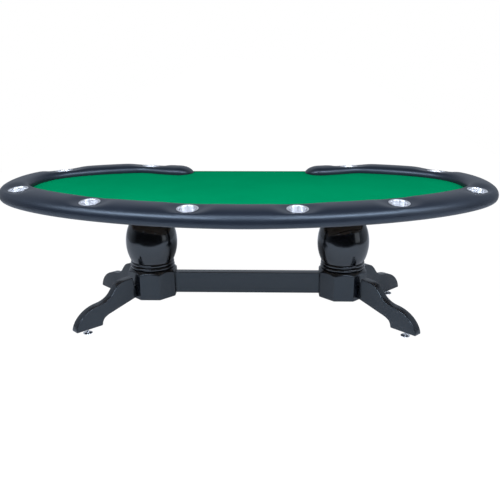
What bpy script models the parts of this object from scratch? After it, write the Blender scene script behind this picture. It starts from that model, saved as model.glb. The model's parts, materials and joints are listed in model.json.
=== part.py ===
"""Ten-seat oval poker table with a dealer's cut-out, as an assembly of separate pieces.

Frame: metres, +Z up, +X along the table, the dealer sits at +Y.  The origin is on the
floor, under the middle of the table's bounding box.
Run it with: blender --background --python part.py
"""
import math

import bmesh
import bpy
import numpy as np
from mathutils import Matrix, Vector

GAP = 0.0003                 # clearance between solids that touch

# Plan of the padded rail: half lengths of its centre line, and how square each half is
OVAL_HALF_LENGTH = 1.2665
FRONT_HALF_WIDTH = 0.590
BACK_HALF_WIDTH = 0.531
FRONT_SQUARENESS = 1.81
BACK_SQUARENESS = 2.55
HOOK_START_X = 0.70          # here the centre line leaves the oval and hooks in
RAIL_END_X = 0.420           # centre of the rail's rounded end
RAIL_END_Y = 0.418
DEALER_EDGE_Y = 0.464        # straight edge at the dealer's seat

# Rail section
RAIL_HALF_WIDTH = 0.084
RAIL_BOTTOM_Z = 0.681
RAIL_SKIRT = 0.0117          # padding outside the ring's edge
DOME_BASE_Z = 0.690          # the rail's rounded end sinks to this height
DOME_TURNS = (30, 56, 78)    # degrees round the end, of its rings
PADDING_JOINTS = (-1.591, -0.515, 0.515, 1.591)   # where the lengths of padding butt together
RINGS_PER_LENGTH = 13

# Heights of the stack of boards
RING_BOTTOM_Z = 0.6882
BOARD_THICKNESS = 0.018
FOAM_THICKNESS = 0.005
CLOTH_THICKNESS = 0.0015
CLOTH_PRESS = 0.0005         # how far the rail presses the cloth in
RING_TOP_Z = RING_BOTTOM_Z + BOARD_THICKNESS
DECK_TOP_Z = RING_TOP_Z + GAP + BOARD_THICKNESS
FOAM_TOP_Z = DECK_TOP_Z + GAP + FOAM_THICKNESS
CLOTH_TOP_Z = FOAM_TOP_Z + GAP + CLOTH_THICKNESS
DECK_INSET = 0.070           # deck edge, measured inwards from the rail's centre line
RING_INSET = 0.090           # inner edge of the ring, measured the same way

STRIP_HALF_LENGTH = 0.3485   # edge strip at the dealer's side
STRIP_DEPTH = 0.006

# Cup holders
CUP_DISTANCES = (0.260, 0.770, 1.3035, 1.8785, 2.404)   # along the centre line, from the front middle
CUP_TILT = math.radians(6.0)
FLANGE_TOP_Z = 0.762
FLANGE_RADIUS = 0.053
FLANGE_THICKNESS = 0.0020
CUP_TOP_RADIUS = 0.0440
CUP_BOTTOM_RADIUS = 0.0400
CUP_DEPTH = 0.070
CUP_WALL = 0.0012
CUP_HOLE_RADIUS = 0.0456

# Pedestals
PEDESTAL_X = 0.5365
BLOCK_APOTHEM = 0.130
BLOCK_BOTTOM_Z = 0.119
BLOCK_EDGE_Z = 0.272         # top of each face, at its middle
BLOCK_TOP_RADIUS = 0.122
BULB_Z = 0.428
BULB_RADIUS = 0.143
BULB_HALF_HEIGHT = 0.189
BULB_START_Z = 0.321
BULB_END_Z = 0.574
TIE_ROD_RADIUS = 0.0060
PLATE_SIDE = 0.300
BATTEN_Y = 0.120
BATTEN_WIDTH = 0.050

# Legs, stretcher and levelling feet
LEG_THICKNESS = 0.048
LEG_UNDERSIDE_Z = 0.029
STRETCHER_BOTTOM_Z = 0.129
STRETCHER_TOP_Z = 0.250
STRETCHER_THICKNESS = 0.048
BOLT_RADIUS = 0.0045
BOLT_LENGTH = 0.100
FOOT_REACH = 0.444           # levelling foot, measured from the pedestal's axis
FOOT_RADIUS = 0.0250
STEM_RADIUS = 0.0050
STEM_TOP_Z = 0.062
INSERT_RADIUS = 0.0090
INSERT_LENGTH = 0.020

COLOURS = {
    "vinyl": ((0.018, 0.021, 0.030), 0.38, 0.0),
    "cloth": ((0.0, 0.300, 0.115), 0.95, 0.0),
    "foam": ((0.62, 0.60, 0.52), 0.95, 0.0),
    "plywood": ((0.42, 0.29, 0.17), 0.70, 0.0),
    "black_edge": ((0.010, 0.010, 0.012), 0.45, 0.0),
    "gloss_black": ((0.006, 0.006, 0.008), 0.12, 0.0),
    "satin_black": ((0.030, 0.034, 0.042), 0.42, 0.0),
    "stainless": ((0.62, 0.62, 0.63), 0.16, 1.0),
    "zinc": ((0.50, 0.50, 0.50), 0.35, 1.0),
    "chrome": ((0.72, 0.72, 0.74), 0.08, 1.0),
}


def clear_scene():
    """Remove every object of the open file."""
    for item in list(bpy.data.objects):
        bpy.data.objects.remove(item, do_unlink=True)


def material(name):
    """Return the named finish, made on first use."""
    found = bpy.data.materials.get(name)
    if found:
        return found
    colour, roughness, metallic = COLOURS[name]
    finish = bpy.data.materials.new(name)
    finish.use_nodes = True
    shader = finish.node_tree.nodes["Principled BSDF"]
    shader.inputs["Base Color"].default_value = (*colour, 1.0)
    shader.inputs["Roughness"].default_value = roughness
    shader.inputs["Metallic"].default_value = metallic
    return finish


# ---------------------------------------------------------------- plan curves

def half_plan():
    """Centre line of the right half of the rail, front middle to rail end, as dense points."""
    angle = np.linspace(-math.pi / 2, math.pi / 2, 1201)
    back = 0.5 + 0.5 * np.tanh(3.0 * np.sin(angle))
    square = FRONT_SQUARENESS + (BACK_SQUARENESS - FRONT_SQUARENESS) * back
    depth = FRONT_HALF_WIDTH + (BACK_HALF_WIDTH - FRONT_HALF_WIDTH) * back
    x = OVAL_HALF_LENGTH * np.abs(np.cos(angle)) ** (2 / square)
    y = depth * np.sign(np.sin(angle)) * np.abs(np.sin(angle)) ** (2 / square)
    keep = (y < 0) | (x > HOOK_START_X)
    oval = np.stack([x[keep], y[keep]], axis=1)
    start = oval[-1]
    heading = start - oval[-4]
    heading /= np.linalg.norm(heading)
    end = np.array([RAIL_END_X, RAIL_END_Y])
    handles = [start, start + 0.10 * heading, end + np.array([0.105, 0.024]), end]
    return np.concatenate([oval[:-1], bezier(handles, 160)])


def bezier(handles, count):
    """Points of a cubic curve through its two end handles."""
    a, b, c, d = (np.asarray(h, dtype=float) for h in handles)
    t = np.linspace(0, 1, count)[:, None]
    return (1 - t) ** 3 * a + 3 * (1 - t) ** 2 * t * b + 3 * (1 - t) * t ** 2 * c + t ** 3 * d


class Plan:
    """The rail's centre line, measured by distance from the middle of the front."""

    def __init__(self):
        points = half_plan()
        steps = np.linalg.norm(np.diff(points, axis=0), axis=1)
        self.distance = np.concatenate([[0.0], np.cumsum(steps)])
        self.length = float(self.distance[-1])
        self.points = points
        reach = self.offset(np.linspace(0, self.length, 400), RAIL_HALF_WIDTH)
        self.shift = -0.5 * float(reach[:, 1].min() + reach[:, 1].max())
        self.points = points + np.array([0.0, self.shift])

    def at(self, distance):
        """Centre-line points at the given distances; negative ones are on the left."""
        distance = np.asarray(distance, dtype=float)
        x = np.interp(np.abs(distance), self.distance, self.points[:, 0])
        y = np.interp(np.abs(distance), self.distance, self.points[:, 1])
        return np.stack([x * np.sign(distance), y], axis=-1)

    def outward(self, distance):
        """Unit vectors that point out of the table, square to the centre line."""
        distance = np.asarray(distance, dtype=float)
        ahead = self.at(np.clip(distance + 0.02, -self.length, self.length))
        behind = self.at(np.clip(distance - 0.02, -self.length, self.length))
        run = ahead - behind
        run /= np.linalg.norm(run, axis=-1, keepdims=True)
        return np.stack([run[..., 1], -run[..., 0]], axis=-1)

    def offset(self, distance, out):
        """Points a given way outside the centre line."""
        return self.at(distance) + out * self.outward(distance)


PLAN = Plan()
PEDESTAL_Y = PLAN.shift
DEALER_Y = DEALER_EDGE_Y + PLAN.shift


def board_outline(out, corner_x, count, dealer_y, stop):
    """Closed outline at an offset from the centre line, cut straight at the dealer's side."""
    reach = PLAN.length - stop
    curve = PLAN.offset(np.linspace(-reach, reach, count), out)
    corners = np.array([[corner_x, dealer_y], [-corner_x, dealer_y]])
    return np.concatenate([curve, corners])


# ---------------------------------------------------------------- mesh helpers

def add_object(name, mesh, finish, matrix=None):
    """Link a named object that carries a mesh and a finish."""
    item = bpy.data.objects.new(name, mesh)
    bpy.context.collection.objects.link(item)
    mesh.materials.clear()
    mesh.materials.append(material(finish))
    if matrix is not None:
        item.matrix_world = matrix
    return item


def mesh_of(name, build):
    """Make a mesh with a bmesh function, with its normals outwards."""
    shape = bmesh.new()
    build(shape)
    bmesh.ops.recalc_face_normals(shape, faces=shape.faces)
    mesh = bpy.data.meshes.new(name)
    shape.to_mesh(mesh)
    shape.free()
    return mesh


def prism_mesh(name, outline, low, high):
    """A straight-sided solid over a closed outline."""
    def build(shape):
        base = [shape.verts.new((x, y, low)) for x, y in outline]
        face = shape.faces.new(base)
        raised = bmesh.ops.extrude_face_region(shape, geom=[face])["geom"]
        moved = [v for v in raised if isinstance(v, bmesh.types.BMVert)]
        bmesh.ops.translate(shape, verts=moved, vec=(0, 0, high - low))
    return mesh_of(name, build)


def loft_mesh(name, rings):
    """A solid through a row of closed rings, capped at both ends."""
    def build(shape):
        rows = [[shape.verts.new(point) for point in ring] for ring in rings]
        for near, far in zip(rows, rows[1:]):
            for k in range(len(near)):
                nxt = (k + 1) % len(near)
                shape.faces.new((near[k], near[nxt], far[nxt], far[k]))
        shape.faces.new(rows[0])
        shape.faces.new(list(reversed(rows[-1])))
    return mesh_of(name, build)


def turned_mesh(name, profile, segments, smooth=True):
    """A turned solid from a closed profile of (radius, height) points, off or on its axis."""
    def build(shape):
        verts = [shape.verts.new((r, 0.0, z)) for r, z in profile]
        on_axis = profile[0][0] == 0.0
        pairs = list(zip(verts, verts[1:]))
        if not on_axis:
            pairs.append((verts[-1], verts[0]))
        edges = [shape.edges.new(pair) for pair in pairs]
        bmesh.ops.spin(shape, geom=verts + edges, axis=(0, 0, 1), cent=(0, 0, 0),
                       angle=2 * math.pi, steps=segments, use_merge=True)
        bmesh.ops.remove_doubles(shape, verts=shape.verts, dist=1e-6)
    mesh = mesh_of(name, build)
    if smooth:
        mesh.shade_smooth()
        mesh.set_sharp_from_angle(angle=math.radians(35))
    return mesh


def cylinder_profile(radius, low, high):
    """Profile of a plain cylinder, from its axis and back to it."""
    return [(0.0, low), (radius, low), (radius, high), (0.0, high)]


def tube_profile(inner, outer, low, high):
    """Profile of a plain tube."""
    return [(inner, low), (outer, low), (outer, high), (inner, high)]


def cutter(name, mesh, matrix=None):
    """A hidden object that booleans cut with."""
    item = add_object(name, mesh, "zinc", matrix)
    item.hide_render = True
    item.display_type = "WIRE"
    return item


def boolean(item, tool, operation="DIFFERENCE"):
    """Cut an object with a cutter, or keep what they share."""
    step = item.modifiers.new(tool.name, "BOOLEAN")
    step.operation = operation
    step.solver = "EXACT"
    step.object = tool


def join_meshes(name, placed):
    """One mesh that holds several separate meshes, each at its own matrix."""
    shape = bmesh.new()
    for mesh, matrix in placed:
        mark = len(shape.verts)
        shape.from_mesh(mesh)
        shape.verts.ensure_lookup_table()
        bmesh.ops.transform(shape, matrix=matrix, verts=shape.verts[mark:])
    mesh = bpy.data.meshes.new(name)
    shape.to_mesh(mesh)
    shape.free()
    return mesh


# ---------------------------------------------------------------- table top

def rail_section():
    """Outline of the padding: (outward from the centre line, height), inner foot first."""
    side = RAIL_HALF_WIDTH
    inner = bezier([(-side, 0.738), (-side, 0.762), (-0.070, 0.776), (-0.027, 0.776)], 4)
    crown = bezier([(-0.027, 0.776), (0.042, 0.776), (side, 0.755), (side, 0.714)], 5)
    roll = bezier([(side, 0.714), (side, 0.694), (0.073, RAIL_BOTTOM_Z), (0.050, RAIL_BOTTOM_Z)], 3)
    foot = np.array([[-side, RAIL_BOTTOM_Z]])
    return np.concatenate([foot, inner, crown[1:], roll[1:]])


def rail_ring(distance, width, height):
    """The section placed square to the centre line; width and height scale it."""
    centre = PLAN.at(distance)
    out = PLAN.outward(distance)
    section = rail_section()
    plan = centre + (section[:, :1] * width) * out
    rise = np.maximum(section[:, 1] - DOME_BASE_Z, 0.0)
    z = np.minimum(section[:, 1], DOME_BASE_Z) + rise * height
    return np.column_stack([plan, z])


def end_run(side):
    """Direction in which the rail runs out at one of its ends."""
    run = PLAN.at(side * PLAN.length) - PLAN.at(side * (PLAN.length - 0.01))
    return run / np.linalg.norm(run)


def dome_rings(side):
    """Rings of the rail's rounded end, from the rail to its tip."""
    rings = []
    for turn in np.radians(DOME_TURNS):
        ring = rail_ring(side * PLAN.length, math.cos(turn), math.cos(turn) ** 0.55)
        ring[:, :2] += RAIL_HALF_WIDTH * math.sin(turn) * end_run(side)
        rings.append(ring)
    return rings


def padding_distances():
    """Distances of the rings of each length of padding, left to right."""
    ends = np.array([-PLAN.length, *PADDING_JOINTS, PLAN.length])
    low = ends[:-1] + np.array([0.0] + [GAP / 2] * len(PADDING_JOINTS))
    high = ends[1:] - np.array([GAP / 2] * len(PADDING_JOINTS) + [0.0])
    return np.linspace(low, high, RINGS_PER_LENGTH, axis=1)


def padding_lengths():
    """The rings of each length of padding, left to right, with the rounded ends."""
    lengths = [[rail_ring(s, 1.0, 1.0) for s in row] for row in padding_distances()]
    lengths[0] = dome_rings(-1)[::-1] + lengths[0]
    lengths[-1] = lengths[-1] + dome_rings(1)
    return lengths


def rail_footprint(reach):
    """Outline in plan of the whole rail and its rounded ends, at a distance from its centre line."""
    along = padding_distances().ravel()
    turns = np.radians([*DOME_TURNS, 90, *(180 - turn for turn in reversed(DOME_TURNS))])
    domes = []
    for side in (1, -1):
        centre, out = PLAN.at(side * PLAN.length), PLAN.outward(side * PLAN.length)
        domes.append([centre + reach * (math.sin(a) * end_run(side) - side * math.cos(a) * out)
                      for a in turns])
    return np.concatenate([PLAN.offset(along, -reach), domes[0],
                           PLAN.offset(along[::-1], reach), domes[1]])


def cup_places():
    """Matrix of each cup holder: its flange's middle, leaning out towards the player."""
    places = []
    for distance in [-d for d in reversed(CUP_DISTANCES)] + list(CUP_DISTANCES):
        x, y = PLAN.at(distance)
        out = PLAN.outward(distance)
        axis = Vector((out[0] * math.sin(CUP_TILT), out[1] * math.sin(CUP_TILT), math.cos(CUP_TILT)))
        turn = Vector((0, 0, 1)).rotation_difference(axis).to_matrix().to_4x4()
        places.append(Matrix.Translation((x, y, FLANGE_TOP_Z)) @ turn)
    return places


def cup_profile():
    """Wall of a drop-in cup with a turned-down flange, height 0 at the flange's top."""
    wall = CUP_WALL
    return [
        (CUP_TOP_RADIUS - wall, 0.0), (CUP_BOTTOM_RADIUS - wall, -CUP_DEPTH + 0.006),
        (CUP_BOTTOM_RADIUS - 0.007, -CUP_DEPTH + wall), (0.0, -CUP_DEPTH + wall),
        (0.0, -CUP_DEPTH), (CUP_BOTTOM_RADIUS - 0.006, -CUP_DEPTH),
        (CUP_BOTTOM_RADIUS, -CUP_DEPTH + 0.006), (CUP_TOP_RADIUS, -FLANGE_THICKNESS),
        (FLANGE_RADIUS, -FLANGE_THICKNESS), (FLANGE_RADIUS - 0.001, 0.0),
    ]


def make_cups(places):
    """The ten stainless cup holders, numbered from the dealer's right hand round the front."""
    mesh = cup_mesh()
    for number, place in enumerate(places, start=1):
        add_object(f"cup_holder_{number}", mesh, "stainless", place)


def cup_mesh():
    """A cup is open at the top, so its profile closes on itself at the axis."""
    inside = cup_profile()[3::-1]
    outside = cup_profile()[:3:-1]
    profile = inside + outside

    def build(shape):
        verts = [shape.verts.new((r, 0.0, z)) for r, z in profile]
        edges = [shape.edges.new(pair) for pair in zip(verts, verts[1:])]
        bmesh.ops.spin(shape, geom=verts + edges, axis=(0, 0, 1), cent=(0, 0, 0),
                       angle=2 * math.pi, steps=16, use_merge=True)
        bmesh.ops.remove_doubles(shape, verts=shape.verts, dist=1e-6)
    mesh = mesh_of("cup_holder", build)
    mesh.shade_smooth()
    mesh.set_sharp_from_angle(angle=math.radians(35))
    return mesh


def make_top():
    """Padded rail, ring, deck, foam, playing cloth and the dealer's edge strip."""
    places = cup_places()
    well = turned_mesh("cup_well", [
        (0.0, -0.12), (CUP_HOLE_RADIUS, -0.12), (CUP_HOLE_RADIUS, -FLANGE_THICKNESS - GAP),
        (FLANGE_RADIUS + 0.0015, -FLANGE_THICKNESS - GAP), (FLANGE_RADIUS + 0.0015, 0.06),
        (0.0, 0.06)], 16, smooth=False)
    wells = cutter("cup_wells", join_meshes("cup_wells", [(well, place) for place in places]))

    ring_line = board_outline(RAIL_HALF_WIDTH - RAIL_SKIRT - GAP, 0.385, 53, DEALER_Y, 0.0)
    ring_hole = board_outline(-RING_INSET, 0.47, 37, DEALER_Y - 0.075, 0.12)
    deck_line = board_outline(-DECK_INSET, 0.44, 49, DEALER_Y, 0.14)
    deck_room = board_outline(-DECK_INSET + GAP, 0.44 + GAP, 49, DEALER_Y + GAP, 0.14)
    ring_room = board_outline(RAIL_HALF_WIDTH - RAIL_SKIRT, 0.385, 53, DEALER_Y + GAP, 0.0)

    ring = add_object("rail_ring", prism_mesh("rail_ring", ring_line, RING_BOTTOM_Z, RING_TOP_Z), "plywood")
    hole = cutter("ring_hole", prism_mesh("ring_hole", ring_hole, RING_BOTTOM_Z - 0.02, RING_TOP_Z + 0.02))
    boolean(ring, hole)
    boolean(ring, wells)

    add_object("deck_board", prism_mesh("deck_board", deck_line, RING_TOP_Z + GAP, DECK_TOP_Z), "plywood")
    add_object("deck_foam", prism_mesh("deck_foam", deck_line, DECK_TOP_Z + GAP, FOAM_TOP_Z), "foam")
    cloth = add_object("playing_cloth",
                       prism_mesh("playing_cloth", deck_line, FOAM_TOP_Z + GAP, CLOTH_TOP_Z), "cloth")
    pressed = prism_mesh("pressed_cloth", rail_footprint(RAIL_HALF_WIDTH + GAP),
                         CLOTH_TOP_Z - CLOTH_PRESS, CLOTH_TOP_Z + 0.01)
    boolean(cloth, cutter("pressed_cloth", pressed))

    under = cutter("ring_space", prism_mesh("ring_space", ring_room, RAIL_BOTTOM_Z - 0.05, RING_TOP_Z + GAP))
    beside = cutter("deck_space", prism_mesh("deck_space", deck_room, RING_TOP_Z, CLOTH_TOP_Z + GAP))
    for number, rings in enumerate(padding_lengths(), start=1):
        name = f"rail_padding_{number}"
        padding = add_object(name, loft_mesh(name, rings), "vinyl")
        own_places = places[2 * number - 2:2 * number]
        own_wells = join_meshes(name + "_wells", [(well, place) for place in own_places])
        for tool in (cutter(name + "_wells", own_wells), under, beside):
            boolean(padding, tool)

    make_cups(places)
    near, far = DEALER_Y + GAP, DEALER_Y + GAP + STRIP_DEPTH
    corners = [(-STRIP_HALF_LENGTH, near), (STRIP_HALF_LENGTH, near),
               (STRIP_HALF_LENGTH, far), (-STRIP_HALF_LENGTH, far)]
    strip = prism_mesh("dealer_edge_strip", corners, RING_BOTTOM_Z, CLOTH_TOP_Z)
    add_object("dealer_edge_strip", strip, "black_edge")


# ---------------------------------------------------------------- pedestals

def bead(radius, middle, half, count=4):
    """Half-round moulding that stands out of a groove, bottom to top."""
    angles = np.linspace(-math.pi / 2, math.pi / 2, count)
    depth = 0.009
    return [(radius - depth + depth * math.cos(a), middle + half * math.sin(a)) for a in angles]


def column_profile():
    """Turned column: two beads, a bulb, a bead and a capital, with a bore for the tie rod."""
    low = BLOCK_EDGE_Z + BLOCK_APOTHEM - BLOCK_TOP_RADIUS + GAP
    bore = TIE_ROD_RADIUS + 0.0006
    heights = np.linspace(BULB_START_Z + 0.001, BULB_END_Z, 8)
    bulb = [(BULB_RADIUS * math.sqrt(1 - ((z - BULB_Z) / BULB_HALF_HEIGHT) ** 2), z) for z in heights]
    capital = [(0.096, 0.594), (0.118, 0.606), (0.124, 0.622), (0.124, RING_BOTTOM_Z - GAP)]
    foot = [(0.114, low)]
    beads = bead(0.124, low + 0.011, 0.009) + bead(0.122, low + 0.0305, 0.010)
    top = bead(0.103, 0.584, 0.009)
    outer = foot + beads + bulb + top + capital
    return [(bore, low)] + outer + [(bore, RING_BOTTOM_Z - GAP)]


def block_outline():
    """Regular octagon with a flat face towards +X and +Y."""
    corner = BLOCK_APOTHEM / math.cos(math.pi / 8)
    angles = [math.pi / 8 + k * math.pi / 4 for k in range(8)]
    return [(corner * math.cos(a), corner * math.sin(a)) for a in angles]


def make_block(name, place, tools):
    """Octagonal block whose top corners are turned away by a cone."""
    top = BLOCK_EDGE_Z + BLOCK_APOTHEM - BLOCK_TOP_RADIUS
    wide = BLOCK_APOTHEM * 1.3
    cone = turned_mesh("block_cone", [
        (0.0, BLOCK_BOTTOM_Z - 0.02), (wide, BLOCK_BOTTOM_Z - 0.02),
        (wide, BLOCK_EDGE_Z + BLOCK_APOTHEM - wide), (BLOCK_TOP_RADIUS, top),
        (0.0, top)], 24, smooth=False)
    mesh = prism_mesh(name, block_outline(), BLOCK_BOTTOM_Z, top + 0.01)
    block = add_object(name, mesh, "satin_black", place)
    boolean(block, cutter(name + "_cone", cone, place), "INTERSECT")
    for tool in tools:
        boolean(block, tool)


def make_pedestal(side, label):
    """Mounting plate, column, octagonal block and the tie rod that clamps them."""
    place = Matrix.Translation((side * PEDESTAL_X, PEDESTAL_Y, 0.0))
    bore = TIE_ROD_RADIUS + 0.0006
    rod_hole = turned_mesh("rod_hole", cylinder_profile(bore, 0.05, RING_TOP_Z - 0.004), 12, False)
    rod_tool = cutter("rod_hole_" + label, rod_hole, place)

    half = PLATE_SIDE / 2
    square = [(-half, -half), (half, -half), (half, half), (-half, half)]
    plate = add_object("mounting_plate_" + label,
                       prism_mesh("plate_" + label, square, RING_BOTTOM_Z, RING_TOP_Z), "plywood", place)
    boolean(plate, rod_tool)

    add_object("turned_column_" + label, turned_mesh("column_" + label, column_profile(), 20),
               "gloss_black", place)

    recess = turned_mesh("nut_recess", cylinder_profile(0.0165, 0.05, BLOCK_BOTTOM_Z + 0.014), 12, False)
    tools = [rod_tool, cutter("nut_recess_" + label, recess, place),
             bolt_tool(stretcher_bolt_place(side), label + "_stretcher")]
    for way, word in ((-1, "front"), (1, "back")):
        tools.append(bolt_tool(leg_bolt_place(side, way), label + "_" + word))
    make_block("octagon_block_" + label, place, tools)

    rod = cylinder_profile(TIE_ROD_RADIUS, BLOCK_BOTTOM_Z - 0.001, RING_TOP_Z - 0.005)
    add_object("tie_rod_" + label, turned_mesh("rod_" + label, rod, 10), "zinc", place)
    washer_low = BLOCK_BOTTOM_Z + 0.014 - GAP - 0.002
    washer = tube_profile(bore, 0.0150, washer_low, washer_low + 0.002)
    add_object("tie_washer_" + label, turned_mesh("washer_" + label, washer, 12), "zinc", place)
    flats = math.cos(math.pi / 6)
    nut = tube_profile(bore / flats, 0.0110, washer_low - GAP - 0.010, washer_low - GAP)
    add_object("tie_nut_" + label, turned_mesh("nut_" + label, nut, 6, False), "zinc", place)


def outward_turn(side, way):
    """Rotation that turns +X to a leg's direction, at 45 degrees out of a pedestal."""
    return Matrix.Rotation(math.atan2(way, side), 4, "Z")


def leg_place(side, way):
    """Matrix of a leg: its own X runs out from the pedestal's axis."""
    return Matrix.Translation((side * PEDESTAL_X, PEDESTAL_Y, 0.0)) @ outward_turn(side, way)


def leg_bolt_place(side, way):
    """Matrix of the hidden bolt between a block and a leg; its own Z runs outwards."""
    start = Matrix.Translation((BLOCK_APOTHEM - BOLT_LENGTH / 2, 0.0, 0.195))
    return leg_place(side, way) @ start @ Matrix.Rotation(math.pi / 2, 4, "Y")


def stretcher_bolt_place(side):
    """Matrix of the hidden bolt between a block and the stretcher; its Z runs inwards."""
    x = side * (PEDESTAL_X - BLOCK_APOTHEM + BOLT_LENGTH / 2)
    turn = Matrix.Rotation(-side * math.pi / 2, 4, "Y")
    middle = 0.5 * (STRETCHER_BOTTOM_Z + STRETCHER_TOP_Z)
    return Matrix.Translation((x, PEDESTAL_Y, middle)) @ turn


def bolt_tool(place, label):
    """Cutter that leaves room for a hidden bolt."""
    profile = cylinder_profile(BOLT_RADIUS + GAP, -GAP, BOLT_LENGTH + GAP)
    return cutter("bolt_room_" + label, turned_mesh("bolt_room", profile, 10, False), place)


def add_bolt(name, place):
    """A hidden threaded bolt."""
    mesh = turned_mesh(name, cylinder_profile(BOLT_RADIUS, 0.0, BOLT_LENGTH), 10)
    add_object(name, mesh, "zinc", place)


# ---------------------------------------------------------------- legs and stretcher

def leg_outline():
    """Scroll-sawn side of a leg: (distance from the pedestal's axis, height)."""
    face = BLOCK_APOTHEM + GAP
    flat = LEG_UNDERSIDE_Z
    top = bezier([(face, 0.251), (0.165, 0.249), (0.192, 0.247), (0.213, 0.245)], 2)
    knee = bezier([(0.213, 0.245), (0.246, 0.241), (0.262, 0.222), (0.283, 0.195)], 5)
    waist = bezier([(0.283, 0.195), (0.305, 0.166), (0.335, 0.152), (0.380, 0.148)], 5)
    toe = bezier([(0.380, 0.148), (0.452, 0.139), (0.511, 0.093), (0.522, 0.036)], 6)
    heel = np.array([[0.5185, flat], [0.3635, flat]])
    cove = bezier([(0.3635, flat), (0.358, 0.060), (0.343, 0.070), (0.320, 0.081)], 4)
    root = np.array([[face, 0.135]])
    return np.concatenate([top, knee[1:], waist[1:], toe[1:], heel, cove[1:], root])


def make_leg(side, way, label):
    """One leg with its hidden bolt, threaded insert and levelling foot."""
    place = leg_place(side, way)
    half = LEG_THICKNESS / 2
    rotate = Matrix.Rotation(math.pi / 2, 4, "X")
    mesh = prism_mesh("leg_" + label, leg_outline(), -half, half)
    mesh.transform(rotate)
    leg = add_object("scroll_leg_" + label, mesh, "satin_black", place)
    ease = leg.modifiers.new("eased_edges", "BEVEL")
    ease.width = 0.0025
    ease.segments = 1
    ease.limit_method = "ANGLE"
    ease.angle_limit = math.radians(60)

    foot_place = place @ Matrix.Translation((FOOT_REACH, 0.0, 0.0))
    pocket = turned_mesh("insert_pocket", [
        (0.0, LEG_UNDERSIDE_Z - 0.01), (INSERT_RADIUS + GAP, LEG_UNDERSIDE_Z - 0.01),
        (INSERT_RADIUS + GAP, LEG_UNDERSIDE_Z + INSERT_LENGTH + GAP),
        (STEM_RADIUS + 0.0005, LEG_UNDERSIDE_Z + INSERT_LENGTH + GAP),
        (STEM_RADIUS + 0.0005, STEM_TOP_Z + 0.018), (0.0, STEM_TOP_Z + 0.018)], 12, False)
    boolean(leg, cutter("insert_pocket_" + label, pocket, foot_place))
    boolean(leg, bolt_tool(leg_bolt_place(side, way), label + "_leg"))
    add_bolt("leg_bolt_" + label, leg_bolt_place(side, way))

    insert = tube_profile(STEM_RADIUS + 0.0005, INSERT_RADIUS, LEG_UNDERSIDE_Z,
                          LEG_UNDERSIDE_Z + INSERT_LENGTH)
    add_object("threaded_insert_" + label, turned_mesh("insert_" + label, insert, 12), "zinc", foot_place)
    stem = cylinder_profile(STEM_RADIUS, 0.0053, STEM_TOP_Z)
    add_object("leveller_stem_" + label, turned_mesh("stem_" + label, stem, 10), "chrome", foot_place)
    pad = [(0.0, 0.0), (FOOT_RADIUS - 0.002, 0.0), (FOOT_RADIUS, 0.002), (FOOT_RADIUS, 0.005),
           (0.017, 0.009), (0.011, 0.012), (STEM_RADIUS + GAP, 0.012), (STEM_RADIUS + GAP, 0.005),
           (0.0, 0.005)]
    add_object("leveller_pad_" + label, turned_mesh("pad_" + label, pad, 16), "chrome", foot_place)


def make_stretcher():
    """Upright board that ties the two blocks together."""
    reach = PEDESTAL_X - BLOCK_APOTHEM - GAP
    half = STRETCHER_THICKNESS / 2
    outline = [(-reach, PEDESTAL_Y - half), (reach, PEDESTAL_Y - half),
               (reach, PEDESTAL_Y + half), (-reach, PEDESTAL_Y + half)]
    bar = add_object("stretcher", prism_mesh("stretcher", outline, STRETCHER_BOTTOM_Z, STRETCHER_TOP_Z),
                     "satin_black")
    ease = bar.modifiers.new("eased_edges", "BEVEL")
    ease.width = 0.002
    ease.segments = 1
    for side, label in ((-1, "left"), (1, "right")):
        boolean(bar, bolt_tool(stretcher_bolt_place(side), label + "_bar"))
        add_bolt("stretcher_bolt_" + label, stretcher_bolt_place(side))


def make_battens():
    """Two boards under the deck, between the mounting plates."""
    reach = PEDESTAL_X - PLATE_SIDE / 2 - GAP
    half = BATTEN_WIDTH / 2
    for way, word in ((-1, "front"), (1, "back")):
        middle = PEDESTAL_Y + way * BATTEN_Y
        outline = [(-reach, middle - half), (reach, middle - half),
                   (reach, middle + half), (-reach, middle + half)]
        add_object("deck_batten_" + word,
                   prism_mesh("batten_" + word, outline, RING_BOTTOM_Z, RING_TOP_Z), "plywood")


def main():
    """Build every piece."""
    clear_scene()
    make_top()
    make_battens()
    make_stretcher()
    for side, label in ((-1, "left"), (1, "right")):
        make_pedestal(side, label)
        for way, word in ((-1, "front"), (1, "back")):
            make_leg(side, way, word + "_" + label)


main()
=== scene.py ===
"""Oval poker table: the pieces that show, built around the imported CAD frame.

Metres, +Z up, +X along the table; the dealer sits at +Y.  Each sub-assembly is a class that
builds its own pieces, each finish is a frozen dataclass, and main() makes them in order.
"""
from __future__ import annotations

import json
import logging
import math
from dataclasses import dataclass
from enum import Enum

import bmesh
import bpy
import numpy as np
from mathutils import Matrix, Vector


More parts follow.
